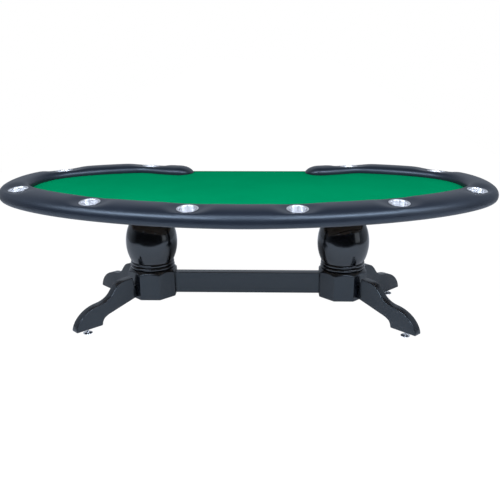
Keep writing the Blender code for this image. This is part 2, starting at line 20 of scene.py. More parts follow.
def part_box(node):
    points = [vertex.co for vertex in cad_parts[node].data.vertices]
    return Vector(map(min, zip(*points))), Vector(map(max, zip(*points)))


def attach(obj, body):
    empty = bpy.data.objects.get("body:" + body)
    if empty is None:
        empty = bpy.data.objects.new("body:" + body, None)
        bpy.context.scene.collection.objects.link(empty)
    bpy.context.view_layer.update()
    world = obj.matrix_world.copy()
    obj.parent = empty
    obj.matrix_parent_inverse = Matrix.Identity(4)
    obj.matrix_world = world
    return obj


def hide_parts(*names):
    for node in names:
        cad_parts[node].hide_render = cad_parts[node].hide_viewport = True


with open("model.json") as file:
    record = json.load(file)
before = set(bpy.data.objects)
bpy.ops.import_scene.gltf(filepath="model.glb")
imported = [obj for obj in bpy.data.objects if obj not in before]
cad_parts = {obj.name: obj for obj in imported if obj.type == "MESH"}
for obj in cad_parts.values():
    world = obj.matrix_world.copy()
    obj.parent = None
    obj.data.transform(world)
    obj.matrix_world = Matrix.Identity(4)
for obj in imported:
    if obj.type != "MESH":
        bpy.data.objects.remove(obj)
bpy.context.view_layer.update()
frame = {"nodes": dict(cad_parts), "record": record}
log = logging.getLogger("poker_table")

Array = np.ndarray
GAP = 0.0003                 # clearance between pieces that touch


class Body(str, Enum):
    """Bodies of the frame that do not carry a number."""

    TABLE = "table"


class Slot(str, Enum):
    """Material slots of the record."""

    VINYL = "vinyl"
    CLOTH = "cloth"
    FOAM = "foam"
    PLYWOOD = "plywood"
    BLACK_EDGE = "black_edge"
    GLOSS_BLACK = "gloss_black"
    SATIN_BLACK = "satin_black"
    STAINLESS = "stainless"
    ZINC = "zinc"
    CHROME = "chrome"


# ---------------------------------------------------------------- shader maths

class Flow:
    """A shader socket that can be added, multiplied and so on, with numbers or with others."""

    def __init__(self, shader: "Shader", socket: bpy.types.NodeSocket) -> None:
        """Wrap an output socket of a shader's tree."""
        self.shader = shader
        self.socket = socket

    def join(self, operation: str, *others: "Flow | float", first: bool = True) -> "Flow":
        """Add one Math node.

        Args:
            operation: the Math node's operation.
            others: the other values, numbers or flows.
            first: whether this flow is the node's first value.

        Returns:
            The node's result.
        """
        values = [self, *others] if first else [*others, self]
        node = self.shader.node("ShaderNodeMath", dict(enumerate(values)), operation=operation)
        return Flow(self.shader, node.outputs[0])

    def __add__(self, other: "Flow | float") -> "Flow":
        """This plus the other."""
        return self.join("ADD", other)

    __radd__ = __add__

    def __sub__(self, other: "Flow | float") -> "Flow":
        """This less the other."""
        return self.join("SUBTRACT", other)

    def __rsub__(self, other: float) -> "Flow":
        """A number less this."""
        return self.join("SUBTRACT", other, first=False)

    def __mul__(self, other: "Flow | float") -> "Flow":
        """This times the other."""
        return self.join("MULTIPLY", other)

    __rmul__ = __mul__

    def __pow__(self, other: float) -> "Flow":
        """This to a power."""
        return self.join("POWER", other)

    def over(self, edge: float, soft: float) -> "Flow":
        """0 below an edge and 1 above it, with a ramp as wide as soft around it."""
        return ((self - (edge - soft / 2)) * (1 / soft)).clamped()

    def clamped(self) -> "Flow":
        """This, held between 0 and 1."""
        node = self.shader.node("ShaderNodeClamp", {"Value": self})
        return Flow(self.shader, node.outputs[0])


class Shader:
    """One material's or world's node tree, and the few ways in which this file adds to it."""

    def __init__(self, tree: bpy.types.NodeTree) -> None:
        """Start from the tree's own nodes."""
        self.tree = tree

    def node(self, kind: str, inputs: dict | None = None, **settings: object) -> bpy.types.Node:
        """Add one node of any type.

        Args:
            kind: the node's type.
            inputs: values or links, by socket name or number.
            settings: the node's own settings, set first; stops is a ramp's (place, colour) list.

        Returns:
            The new node.
        """
        made = self.tree.nodes.new(kind)
        stops = settings.pop("stops", None)
        for name, value in settings.items():
            setattr(made, name, value)
        if stops:
            elements = made.color_ramp.elements
            for extra in stops[2:]:
                elements.new(extra[0])
            for element, (place, colour) in zip(elements, stops):
                element.position = place
                element.color = (*colour, 1.0)
        for key, value in (inputs or {}).items():
            self.feed(made.inputs[key], value)
        return made

    def feed(self, socket: bpy.types.NodeSocket, value: object) -> None:
        """Link a flow or socket to an input, or set the input's own value."""
        source = value.socket if isinstance(value, Flow) else value
        if isinstance(source, bpy.types.NodeSocket):
            self.tree.links.new(source, socket)
        else:
            socket.default_value = source

    def place(self, stretch: tuple[float, float, float] = (1.0, 1.0, 1.0)) -> bpy.types.NodeSocket:
        """Object coordinates, each axis multiplied by its stretch."""
        source = self.node("ShaderNodeTexCoord").outputs["Object"]
        return self.node("ShaderNodeMapping", {"Vector": source, "Scale": stretch}).outputs[0]

    def noise(self, scale: float, detail: float = 2.0, rough: float = 0.5,
              at: bpy.types.NodeSocket | None = None) -> Flow:
        """Soft noise from 0 to 1, with so many features a metre."""
        inputs = {"Scale": scale, "Detail": detail, "Roughness": rough, "Vector": at or self.place()}
        return Flow(self, self.node("ShaderNodeTexNoise", inputs).outputs["Fac"])

    def cells(self, scale: float, at: bpy.types.NodeSocket | None = None) -> Flow:
        """Distance to the nearest of scattered points, with so many points a metre."""
        inputs = {"Scale": scale, "Vector": at or self.place()}
        node = self.node("ShaderNodeTexVoronoi", inputs, feature="SMOOTH_F1")
        return Flow(self, node.outputs["Distance"])

    def mix(self, factor: Flow | float, low: object, high: object) -> bpy.types.NodeSocket:
        """Colour that goes from low to high as the factor goes from 0 to 1."""
        node = self.node("ShaderNodeMix", data_type="RGBA")
        self.feed(node.inputs[0], factor)
        for number, colour in ((6, low), (7, high)):
            self.feed(node.inputs[number], (*colour, 1.0) if isinstance(colour, tuple) else colour)
        return node.outputs[2]

    def bump(self, height: Flow, depth: float, strength: float = 1.0) -> bpy.types.NodeSocket:
        """Normal of a surface that the height raises by up to depth metres."""
        inputs = {"Height": height, "Distance": depth, "Strength": strength}
        return self.node("ShaderNodeBump", inputs).outputs[0]


# ---------------------------------------------------------------- finishes

@dataclass(frozen=True)
class Finish:
    """A procedural finish: a name, its record slot and the shader's plain values."""

    name: str
    slot: Slot
    colour: tuple[float, float, float]
    roughness: float
    metallic: float = 0.0
    coat: float = 0.0
    coat_roughness: float = 0.05
    tint: tuple[float, float, float] = (1.0, 1.0, 1.0)
    specular: float = 0.5
    anisotropy: float = 0.0

    def material(self) -> bpy.types.Material:
        """The finish as a material, made on first use."""
        found = bpy.data.materials.get(self.name)
        if found:
            return found
        made = bpy.data.materials.new(self.name)
        made.use_nodes = True
        surface = made.node_tree.nodes["Principled BSDF"]
        plain = {"Metallic": self.metallic, "Roughness": self.roughness, "Coat Weight": self.coat,
                 "Coat Roughness": self.coat_roughness, "Anisotropic": self.anisotropy,
                 "Anisotropic Rotation": 0.25,
                 "Specular IOR Level": self.specular, "Specular Tint": (*self.tint, 1.0),
                 "Base Color": (*self.colour, 1.0)}
        for key, value in plain.items():
            surface.inputs[key].default_value = value
        shader = Shader(made.node_tree)
        for key, value in self.pattern(shader).items():
            shader.feed(surface.inputs[key], value)
        return made

    def shade(self, factor: float) -> tuple[float, float, float]:
        """The finish's own colour, multiplied."""
        return tuple(factor * channel for channel in self.colour)

    def pattern(self, shader: Shader) -> dict[str, object]:
        """What varies over the surface, by socket name."""
        return {}


@dataclass(frozen=True)
class Vinyl(Finish):
    """Leather-grained upholstery vinyl: shallow cells with creases between, slightly uneven gloss."""

    grain: float = 420.0

    def pattern(self, shader: Shader) -> dict[str, object]:
        """Cells and fine noise raise the surface; broad noise shifts colour and gloss."""
        broad = shader.noise(9.0, 3.0)
        cells = shader.cells(self.grain)
        fine = shader.noise(1500.0, 2.0)
        height = cells * 0.7 + fine * 0.3
        return {"Base Color": shader.mix(broad, self.shade(0.82), self.shade(1.22)),
                "Roughness": self.roughness - 0.05 + broad * 0.10,
                "Normal": shader.bump(height, 0.00018, 0.55)}


@dataclass(frozen=True)
class CardCloth(Finish):
    """Close-woven playing cloth: a fine twill under a short nap, with faint brushed patches."""

    threads: float = 1400.0

    def pattern(self, shader: Shader) -> dict[str, object]:
        """Two crossed wave bands make the twill; two noises make the nap and the patches."""
        at = shader.place()
        waves = []
        for stretch in ((1.0, 1.0, 0.0), (1.0, -1.0, 0.0)):
            lines = shader.node("ShaderNodeTexWave",
                                {"Vector": shader.place(stretch), "Scale": self.threads / 20,
                                 "Distortion": 0.6, "Detail": 1.0}, bands_direction="DIAGONAL")
            waves.append(Flow(shader, lines.outputs["Fac"]))
        nap = shader.noise(900.0, 3.0, 0.65, at)
        patch = shader.noise(3.5, 3.0, 0.55, at)
        tone = nap * 0.45 + patch * 0.55
        height = waves[0] * waves[1] * 0.5 + nap * 0.5
        return {"Base Color": shader.mix(tone.over(0.5, 0.5), self.shade(0.90), self.shade(1.10)),
                "Normal": shader.bump(height, 0.00025, 0.5)}


@dataclass(frozen=True)
class Lacquer(Finish):
    """Sprayed black lacquer on wood: faint orange peel, and wood grain that barely telegraphs."""

    peel: float = 0.00005
    grain_depth: float = 0.00003

    def pattern(self, shader: Shader) -> dict[str, object]:
        """Soft noise makes the peel, noise stretched upright the grain, broad noise the gloss."""
        peel = shader.noise(170.0, 1.0)
        grain = shader.noise(320.0, 2.0, 0.6, shader.place((1.0, 1.0, 0.06)))
        haze = shader.noise(6.0, 3.0, 0.6)
        height = peel + grain * (self.grain_depth / self.peel)
        return {"Base Color": shader.mix(haze, self.shade(0.75), self.shade(1.25)),
                "Roughness": self.roughness * (0.85 + haze * 0.30),
                "Normal": shader.bump(height, self.peel, 0.6)}


@dataclass(frozen=True)
class SpunSteel(Finish):
    """Polished stainless steel with the faint rings that spinning and buffing leave."""

    rings: float = 2600.0

    def pattern(self, shader: Shader) -> dict[str, object]:
        """Noise of the piece's own profile length gives rings; broad noise gives wipe marks."""
        uv = shader.node("ShaderNodeUVMap", uv_map="profile").outputs[0]
        split = shader.node("ShaderNodeSeparateXYZ", {"Vector": uv})
        along = shader.node("ShaderNodeCombineXYZ", {"X": Flow(shader, split.outputs["Y"]) * self.rings})
        rings = shader.noise(1.0, 3.0, 0.6, along.outputs[0])
        wipe = shader.noise(45.0, 3.0, 0.6)
        return {"Base Color": shader.mix(wipe, self.shade(0.93), self.shade(1.05)),
                "Roughness": self.roughness * (0.7 + rings * 0.35 + wipe * 0.30),
                "Normal": shader.bump(rings, 0.00002, 0.25)}


@dataclass(frozen=True)
class PlatedSteel(Finish):
    """Plated steel: cloudy bright patches and fine scuffs."""

    def pattern(self, shader: Shader) -> dict[str, object]:
        """Two noises vary colour and gloss, a third gives the scuffs."""
        cloud = shader.noise(70.0, 3.0, 0.6)
        scuff = shader.noise(900.0, 2.0, 0.7)
        return {"Base Color": shader.mix(cloud, self.shade(0.85), self.shade(1.10)),
                "Roughness": self.roughness * (0.75 + cloud * 0.35 + scuff * 0.20),
                "Normal": shader.bump(scuff, 0.00002, 0.4)}


@dataclass(frozen=True)
class Plywood(Finish):
    """Birch plywood: a streaked face veneer, and bands of plies on the cut edges."""

    ply: float = 0.0018

    def pattern(self, shader: Shader) -> dict[str, object]:
        """Noise stretched along X streaks the faces; a wave of height bands the upright edges."""
        streaks = shader.noise(46.0, 5.0, 0.62, shader.place((0.05, 1.0, 1.0)))
        pores = shader.noise(900.0, 2.0, 0.7, shader.place((0.04, 1.0, 1.0)))
        face = shader.mix(streaks.over(0.5, 0.45), self.shade(0.72), self.shade(1.12))
        heights = shader.node("ShaderNodeSeparateXYZ", {"Vector": shader.place()})
        bands = (Flow(shader, heights.outputs["Z"]) * (math.pi / self.ply)).join("SINE").over(0.0, 0.6)
        edge = shader.mix(bands, self.shade(0.45), self.shade(0.95))
        facing = shader.node("ShaderNodeSeparateXYZ",
                             {"Vector": shader.node("ShaderNodeNewGeometry").outputs["Normal"]})
        flat = (Flow(shader, facing.outputs["Z"]) ** 2.0).over(0.5, 0.3)
        return {"Base Color": shader.mix(flat, edge, face),
                "Roughness": self.roughness - 0.08 + pores * 0.16,
                "Normal": shader.bump(pores * 0.6 + streaks * 0.4, 0.00015, 0.5)}


@dataclass(frozen=True)
class FoamSheet(Finish):
    """Open-celled foam: small dark pores all over."""

    def pattern(self, shader: Shader) -> dict[str, object]:
        """Cells a millimetre across darken and pit the surface."""
        pores = shader.cells(1100.0)
        return {"Base Color": shader.mix(pores.over(0.35, 0.4), self.shade(0.75), self.colour),
                "Normal": shader.bump(pores, 0.0004, 0.8)}


@dataclass(frozen=True)
class EdgeBand(Finish):
    """Extruded black edge band: faint lengthwise drawing lines."""

    def pattern(self, shader: Shader) -> dict[str, object]:
        """Noise stretched along X gives the drawing lines."""
        lines = shader.noise(700.0, 2.0, 0.6, shader.place((0.01, 1.0, 1.0)))
        return {"Roughness": self.roughness - 0.06 + lines * 0.12,
                "Base Color": shader.mix(lines, self.shade(0.8), self.shade(1.2)),
                "Normal": shader.bump(lines, 0.00004, 0.6)}


RAIL_VINYL = Vinyl("rail_vinyl", Slot.VINYL, (0.0085, 0.0108, 0.0165), 0.36, tint=(0.74, 0.88, 1.0))
PLAYING_GREEN = CardCloth("playing_green", Slot.CLOTH, (0.0, 0.215, 0.077), 0.95, specular=0.0)
COLUMN_LACQUER = Lacquer("column_lacquer", Slot.GLOSS_BLACK, (0.0022, 0.0023, 0.0030), 0.16,
                         coat=0.35, coat_roughness=0.04, tint=(0.82, 0.92, 1.0))
LEG_LACQUER = Lacquer("leg_lacquer", Slot.SATIN_BLACK, (0.0030, 0.0037, 0.0052), 0.24, coat=0.12,
                      coat_roughness=0.18, tint=(0.80, 0.92, 1.0), specular=0.50, peel=0.00007)
CUP_STEEL = SpunSteel("cup_steel", Slot.STAINLESS, (0.86, 0.86, 0.87), 0.34, metallic=1.0,
                      anisotropy=0.85)
FOOT_CHROME = PlatedSteel("foot_chrome", Slot.CHROME, (0.78, 0.79, 0.81), 0.09, metallic=1.0)
ZINC_PLATE = PlatedSteel("zinc_plate", Slot.ZINC, (0.58, 0.59, 0.60), 0.32, metallic=1.0)
BIRCH_PLY = Plywood("birch_ply", Slot.PLYWOOD, (0.28, 0.185, 0.110), 0.62)
PALE_FOAM = FoamSheet("pale_foam", Slot.FOAM, (0.62, 0.60, 0.52), 0.95)
BLACK_BAND = EdgeBand("black_band", Slot.BLACK_EDGE, (0.008, 0.009, 0.012), 0.34)


# ---------------------------------------------------------------- shapes

def bezier(handles: list[tuple[float, float]], count: int) -> Array:
    """Points of a cubic curve: its four handles weighted by (1-t)^3, 3t(1-t)^2, 3t^2(1-t) and t^3."""
    a, b, c, d = (np.asarray(h, dtype=float) for h in handles)
    t = np.linspace(0, 1, count)[:, None]
    return (1 - t) ** 3 * a + 3 * (1 - t) ** 2 * t * b + 3 * (1 - t) * t ** 2 * c + t ** 3 * d


def eased(corners: Array, reach: float | Array, steps: int = 5, closed: bool = True) -> Array:
    """Round the corners of a line in a plane.

    Each corner P becomes the curve (1-t)^2 A + 2t(1-t) P + t^2 B, where A and B lie on its two
    sides, a reach away or at most 0.45 of the side.

    Args:
        corners: the corners, one a row.
        reach: one length, or a column with one for each corner.
        steps: points that replace each corner.
        closed: whether the last corner joins the first.

    Returns:
        The rounded line.
    """
    before, after = np.roll(corners, 1, axis=0), np.roll(corners, -1, axis=0)
    if not closed:
        before[0], after[-1] = corners[0], corners[-1]

    def toward(other: Array) -> Array:
        """Point a reach away from each corner, toward the other one."""
        way = other - corners
        length = np.maximum(np.linalg.norm(way, axis=1, keepdims=True), 1e-9)
        return corners + way * np.minimum(reach / length, 0.45)

    a, b = toward(before)[:, None], toward(after)[:, None]
    t = np.linspace(0, 1, steps)[None, :, None]
    return ((1 - t) ** 2 * a + 2 * t * (1 - t) * corners[:, None] + t ** 2 * b).reshape(-1, 2)


def smooth_step(value: Array) -> Array:
    """3t^2 - 2t^3 of the value held between 0 and 1."""
    t = np.clip(value, 0.0, 1.0)
    return t * t * (3 - 2 * t)


def turned(profile: Array, segments: int) -> Array:
    """Grid of a turned piece: x = r cos a, y = r sin a, z = height, a row for each profile point."""
    angle = np.linspace(0, 2 * math.pi, segments, endpoint=False)
    radius, height = profile[:, :1], profile[:, 1:]
    return np.stack([radius * np.cos(angle), radius * np.sin(angle), height + 0 * angle], axis=-1)


def moved(points: Array, matrix: Matrix) -> Array:
    """The points, turned and shifted by a matrix."""
    m = np.array(matrix)
    return points @ m[:3, :3].T + m[:3, 3]


class Shape:
    """Points and faces gathered from several surfaces, then made one mesh."""

    def __init__(self) -> None:
        """Start empty."""
        self.points: list[Array] = []
        self.faces: list[list[int]] = []
        self.uvs: list[Array] = []
        self.count = 0

    def add(self, points: Array, faces: list[list[int]], uvs: Array | None = None) -> "Shape":
        """Add loose points, and faces that number them from 0."""
        flat = points.reshape(-1, 3)
        self.points.append(flat)
        self.faces.extend([[n + self.count for n in face] for face in faces])
        self.uvs.append(np.zeros((len(flat), 2)) if uvs is None else uvs.reshape(-1, 2))
        self.count += len(flat)
        return self

    def lattice(self, grid: Array, close_rows: bool = False, close_columns: bool = False,
                uvs: Array | None = None) -> "Shape":
        """Add a grid of points with a face in each of its cells.

        Args:
            grid: points by row and column.
            close_rows: whether the last row joins the first.
            close_columns: whether the last column joins the first.
            uvs: flat coordinates by row and column, for a pattern that follows the surface.

        Returns:
            This shape.
        """
        rows, columns = grid.shape[:2]
        r, c = np.meshgrid(np.arange(rows - (not close_rows)), np.arange(columns - (not close_columns)),
                           indexing="ij")
        r_next, c_next = (r + 1) % rows, (c + 1) % columns
        cells = np.stack([r * columns + c, r * columns + c_next, r_next * columns + c_next,
                          r_next * columns + c], axis=-1)
        return self.add(grid, cells.reshape(-1, 4).tolist(), uvs)

    def cap(self, ring: Array) -> "Shape":
        """Close a flat ring with one face."""
        return self.add(ring, [list(range(len(ring)))])

    def mesh(self, name: str, crease: float = 35.0) -> bpy.types.Mesh:
        """Make the mesh: doubles merged, faces outwards, smooth except at creases.

        Args:
            name: the mesh's name.
            crease: degrees past which an edge stays sharp.

        Returns:
            The finished mesh.
        """
        mesh = bpy.data.meshes.new(name)
        mesh.from_pydata(np.concatenate(self.points).tolist(), [], self.faces)
        layer = mesh.uv_layers.new(name="profile")
        corners = np.zeros(len(mesh.loops), dtype=np.int32)
        mesh.loops.foreach_get("vertex_index", corners)
        layer.data.foreach_set("uv", np.concatenate(self.uvs)[corners].ravel())
        shape = bmesh.new()
        shape.from_mesh(mesh)
        bmesh.ops.remove_doubles(shape, verts=shape.verts, dist=2e-6)
        bmesh.ops.dissolve_degenerate(shape, edges=shape.edges, dist=1e-7)
        bmesh.ops.recalc_face_normals(shape, faces=shape.faces)
        shape.to_mesh(mesh)
        shape.free()
        mesh.shade_smooth()
        mesh.set_sharp_from_angle(angle=math.radians(crease))
        return mesh


def turned_shape(profile: Array, segments: int, matrix: Matrix | None = None) -> Shape:
    """A turned piece as a closed shape; its profile starts and ends on the axis, or closes.

    Args:
        profile: (radius, height) rows.
        segments: faces in each round.
        matrix: where the piece's own axis stands.

    Returns:
        The shape, with profile length as its second flat coordinate.
    """
    steps = np.linalg.norm(np.diff(profile, axis=0), axis=1)
    length = np.concatenate([[0.0], np.cumsum(steps)])
    grid = turned(profile, segments)
    around = np.linspace(0, 1, segments, endpoint=False)
    uvs = np.stack(np.broadcast_arrays(around[None, :], length[:, None]), axis=-1)
    return Shape().lattice(grid if matrix is None else moved(grid, matrix),
                           close_rows=bool(profile[0, 0] > 0), close_columns=True, uvs=uvs)


def swept_bar(section: Array, stations: Array, insets: Array) -> Shape:
    """A straight bar along X whose rounded ends draw in.

    Each ring is the section drawn in by its inset toward its middle: p - inset * sign(p).

    Args:
        section: (y, z) rows about the bar's middle.
        stations: x of each ring.
        insets: how far each ring is drawn in.

    Returns:
        The closed shape.
    """
    drawn = section[None] - insets[:, None, None] * np.sign(section)[None]
    x = np.broadcast_to(stations[:, None, None], (*drawn.shape[:2], 1))
    grid = np.concatenate([x, drawn], axis=-1)
    return Shape().lattice(grid, close_columns=True).cap(grid[0]).cap(grid[-1])


def show(name: str, shape: Shape | bpy.types.Mesh, finish: Finish, body: str, *nodes: str,
         crease: float = 35.0) -> bpy.types.Object:
    """Link a piece, dress it and say what it rides on and stands for.

    Args:
        name: the piece's name.
        shape: its shape, or its finished mesh.
        finish: its finish.
        body: the CAD body that carries it.
        nodes: the CAD nodes that it replaces.
        crease: degrees past which an edge stays sharp.

    Returns:
        The new object, at the origin.
    """
    mesh = shape.mesh(name, crease) if isinstance(shape, Shape) else shape
    piece = bpy.data.objects.new(name, mesh)
    bpy.context.scene.collection.objects.link(piece)
    mesh.materials.append(finish.material())
    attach(piece, body)
    if nodes:
        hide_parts(*nodes)
    log.info("%s: %d faces, rides on %s", name, len(mesh.polygons), body)
    return piece


# ---------------------------------------------------------------- the rail's plan

@dataclass
class RailPlan:
    """Centre line of the rail: an oval, squarer at the back, that hooks in at its two ends."""

    half_length: float = 1.2665
    front_depth: float = 0.590
    back_depth: float = 0.531
    front_square: float = 1.81
    back_square: float = 2.55
    hook_start: float = 0.70
    end: tuple[float, float] = (0.420, 0.418)
    edge_y: float = 0.464
    half_width: float = 0.084

    def __post_init__(self) -> None:
        """Measure the line, and shift it so that the rail's front and back are level about Y = 0."""
        points = self.half_line()
        steps = np.linalg.norm(np.diff(points, axis=0), axis=1)
        self.distances = np.concatenate([[0.0], np.cumsum(steps)])
        self.length = float(self.distances[-1])
        self.points = points
        reach = self.offset(np.linspace(0, self.length, 400), self.half_width)
        self.shift = -0.5 * float(reach[:, 1].min() + reach[:, 1].max())
        self.points = points + np.array([0.0, self.shift])
        self.dealer_y = self.edge_y + self.shift

    def half_line(self) -> Array:
        """Right half, front middle to rail end.

        x = L |cos a|^(2/n) and y = D sign(sin a) |sin a|^(2/n), where D and n go from front to
        back as 0.5 + 0.5 tanh(3 sin a); a cubic curve then leads into the rail's end.
        """
        angle = np.linspace(-math.pi / 2, math.pi / 2, 1201)
        back = 0.5 + 0.5 * np.tanh(3.0 * np.sin(angle))
        square = self.front_square + (self.back_square - self.front_square) * back
        depth = self.front_depth + (self.back_depth - self.front_depth) * back
        x = self.half_length * np.abs(np.cos(angle)) ** (2 / square)
        y = depth * np.sign(np.sin(angle)) * np.abs(np.sin(angle)) ** (2 / square)
        keep = (y < 0) | (x > self.hook_start)
        oval = np.stack([x[keep], y[keep]], axis=1)
        heading = oval[-1] - oval[-4]
        heading /= np.linalg.norm(heading)
        end = np.array(self.end)
        hook = bezier([oval[-1], oval[-1] + 0.10 * heading, end + np.array([0.105, 0.024]), end], 160)
        return np.concatenate([oval[:-1], hook])

    def at(self, distance: Array | float) -> Array:
        """Points at distances from the front middle; negative ones are on the left."""
        distance = np.asarray(distance, dtype=float)
        x = np.interp(np.abs(distance), self.distances, self.points[:, 0])
        y = np.interp(np.abs(distance), self.distances, self.points[:, 1])
        return np.stack([x * np.sign(distance), y], axis=-1)

    def outward(self, distance: Array | float) -> Array:
        """Unit vectors out of the table, square to the line between points 20 mm either way."""
        distance = np.asarray(distance, dtype=float)
        run = (self.at(np.clip(distance + 0.02, -self.length, self.length))
               - self.at(np.clip(distance - 0.02, -self.length, self.length)))
        run /= np.linalg.norm(run, axis=-1, keepdims=True)
        return np.stack([run[..., 1], -run[..., 0]], axis=-1)

    def offset(self, distance: Array | float, out: float) -> Array:
        """Points a given way outside the line."""
        return self.at(distance) + out * self.outward(distance)


@dataclass
class CupPlan:
    """Where the ten cups stand in the rail, and how they lean toward the players."""

    plan: RailPlan
    distances: tuple[float, ...] = (0.260, 0.770, 1.3035, 1.8785, 2.404)
    tilt: float = math.radians(6.0)
    flange_z: float = 0.762

    def signed(self) -> list[float]:
        """Distances of the ten cups along the rail, left to right."""
        return [-d for d in reversed(self.distances)] + list(self.distances)

    def frames(self) -> list[Matrix]:
        """Matrix of each cup: origin at the flange's middle, +Z up its leaning axis."""
        made = []
        for distance in self.signed():
            x, y = self.plan.at(distance)
            out = self.plan.outward(distance)
            axis = Vector((*(out * math.sin(self.tilt)), math.cos(self.tilt)))
            turn = Vector((0, 0, 1)).rotation_difference(axis).to_matrix().to_4x4()
            made.append(Matrix.Translation((x, y, self.flange_z)) @ turn)
        return made


# ---------------------------------------------------------------- table top

@dataclass
class RailCover:
    """The padded armrest: one stretched vinyl skin over foam, from rail end to rail end."""

    plan: RailPlan
    cups: CupPlan
    floor: float = 0.7335          # top of the cloth, and clearance
    board_top: float = 0.7068      # top of the ring, and clearance
    board_edge: float = 0.0725     # the ring's edge, outwards from the centre line
    deck_edge: float = -0.0696
    tuck_end: float = 0.0400
    coarse: float = 0.012
    fine: float = 0.0042
    well: float = 0.0452
    seat: float = 0.0545
    seat_depth: float = 0.0023

    def section(self) -> tuple[Array, Array]:
        """The skin's cross-section.

        Returns:
            The outer line, (outward, height) rows from the inner foot over the crown and round
            the roll to the tucked edge, and the inner line below it, point for point.
        """
        side = self.plan.half_width
        foot = np.array([[-side + 0.0003, self.floor]])
        inner = bezier([(-side, 0.738), (-side, 0.762), (-0.070, 0.776), (-0.027, 0.776)], 13)
        crown = bezier([(-0.027, 0.776), (0.042, 0.776), (side, 0.755), (side, 0.714)], 34)
        roll = bezier([(side, 0.714), (side, 0.694), (0.073, 0.681), (0.050, 0.681)], 10)
        tuck = np.array([[0.0435, 0.6811], [0.0405, 0.6825], [self.tuck_end, 0.6845]])
        over = np.concatenate([foot, inner, crown[1:], roll[1:], tuck])
        beyond = np.arange(len(over)) > np.argmax(over[:, 0] > self.board_edge - 0.001) - 1
        under = np.stack([over[:, 0], np.full(len(over), self.board_top)], axis=1)
        step = int(np.argmax(over[:, 0] > self.deck_edge))
        under[:step, 1] = self.floor
        under[step - 1:step + 1, 0] = self.deck_edge
        line = np.array([[self.board_edge, self.board_top], [self.board_edge, 0.6877],
                         [self.tuck_end + 0.003, 0.6876], [self.tuck_end, 0.6845]])
        runs = np.concatenate([[0.0], np.cumsum(np.linalg.norm(np.diff(line, axis=0), axis=1))])
        share = np.linspace(0, runs[-1], int(beyond.sum()))
        under[beyond] = np.stack([np.interp(share, runs, line[:, k]) for k in (0, 1)], axis=1)
        return over, under

    def stations(self) -> Array:
        """Distances of the rings: close together beside the cups, further apart between them."""
        s = np.linspace(-self.plan.length, self.plan.length, 6001)
        nearest = np.min(np.abs(s[:, None] - np.array(self.cups.signed())), axis=1)
        share = smooth_step((0.085 - nearest) / 0.02)
        rate = 1 / self.coarse + (1 / self.fine - 1 / self.coarse) * share
        count = np.concatenate([[0.0], np.cumsum(0.5 * (rate[1:] + rate[:-1]) * np.diff(s))])
        return np.interp(np.linspace(0, count[-1], int(count[-1]) + 1), count, s)

    def edge_in_dome(self, centre: Array, out: Array) -> Array:
        """How far outwards the boards' cut edge lies on each ring of a rounded end."""
        reach = np.linspace(-0.02, 0.09, 440)
        points = centre[:, None] + reach[None, :, None] * out[:, None]
        corner, side = np.array([0.385, self.plan.dealer_y]), self.plan.offset(self.plan.length, 0.072)
        x = np.abs(points[..., 0])
        edge_y = np.interp(x, [corner[0], side[0], side[0] + 1e-4], [corner[1], side[1], 9.0])
        past = (points[..., 1] > edge_y + 0.0005) | (reach[None] > self.board_edge)
        return reach[np.argmax(past, axis=1)]

    def rings(self) -> tuple[Array, Array]:
        """Outer and inner lines of every ring, left end to right end.

        Along the rail a ring is centre + outward * u, height h.  On a rounded end the centre
        steps out by R sin f, u shrinks by cos f and the height over the cloth by cos^1.25 f,
        while what hangs below the boards thins out to nothing where it meets their edge.
        """
        over, under = self.section()
        along = self.stations()
        turn = np.radians(np.linspace(0, 90, 41)[1:])
        centres, outs, squeeze, edges, decked = [], [], [], [], []
        for side, angles in ((-1, turn[::-1]), (0, None), (1, turn)):
            if side == 0:
                centres.append(self.plan.at(along))
                outs.append(self.plan.outward(along))
                squeeze.append(np.ones(len(along)))
                edges.append(np.full(len(along), self.board_edge))
                decked.append(np.abs(along) > self.plan.length - 0.142)
                continue
            end = side * self.plan.length
            run = self.plan.at(end) - self.plan.at(end - side * 0.01)
            run /= np.linalg.norm(run)
            centre = self.plan.at(end) + self.plan.half_width * np.sin(angles)[:, None] * run
            out = np.broadcast_to(self.plan.outward(end), centre.shape)
            centres.append(centre)
            outs.append(out)
            squeeze.append(np.cos(angles))
            edges.append(self.edge_in_dome(centre, out))
            decked.append(np.full(len(angles), True))
        centre, out = np.concatenate(centres), np.concatenate(outs)
        c, edge = np.concatenate(squeeze)[:, None], np.concatenate(edges)[:, None]
        decked = np.concatenate(decked)[:, None]
        side = self.plan.half_width
        lip = np.clip((side * c - edge) / (side - self.board_edge), 0.0, 1.0)
        hang = np.sqrt(smooth_step(lip / 0.35))
        rim = c * (side - 0.0017 * (1 - hang))
        edge = np.minimum(edge, rim)
        lifted = [self.lift(line, c, edge, rim, lip, hang, decked, inner)
                  for line, inner in ((over, False), (under, True))]
        return tuple(np.concatenate([centre[:, None] + u[..., None] * out[:, None], h[..., None]],
                                    axis=-1) for u, h in lifted)

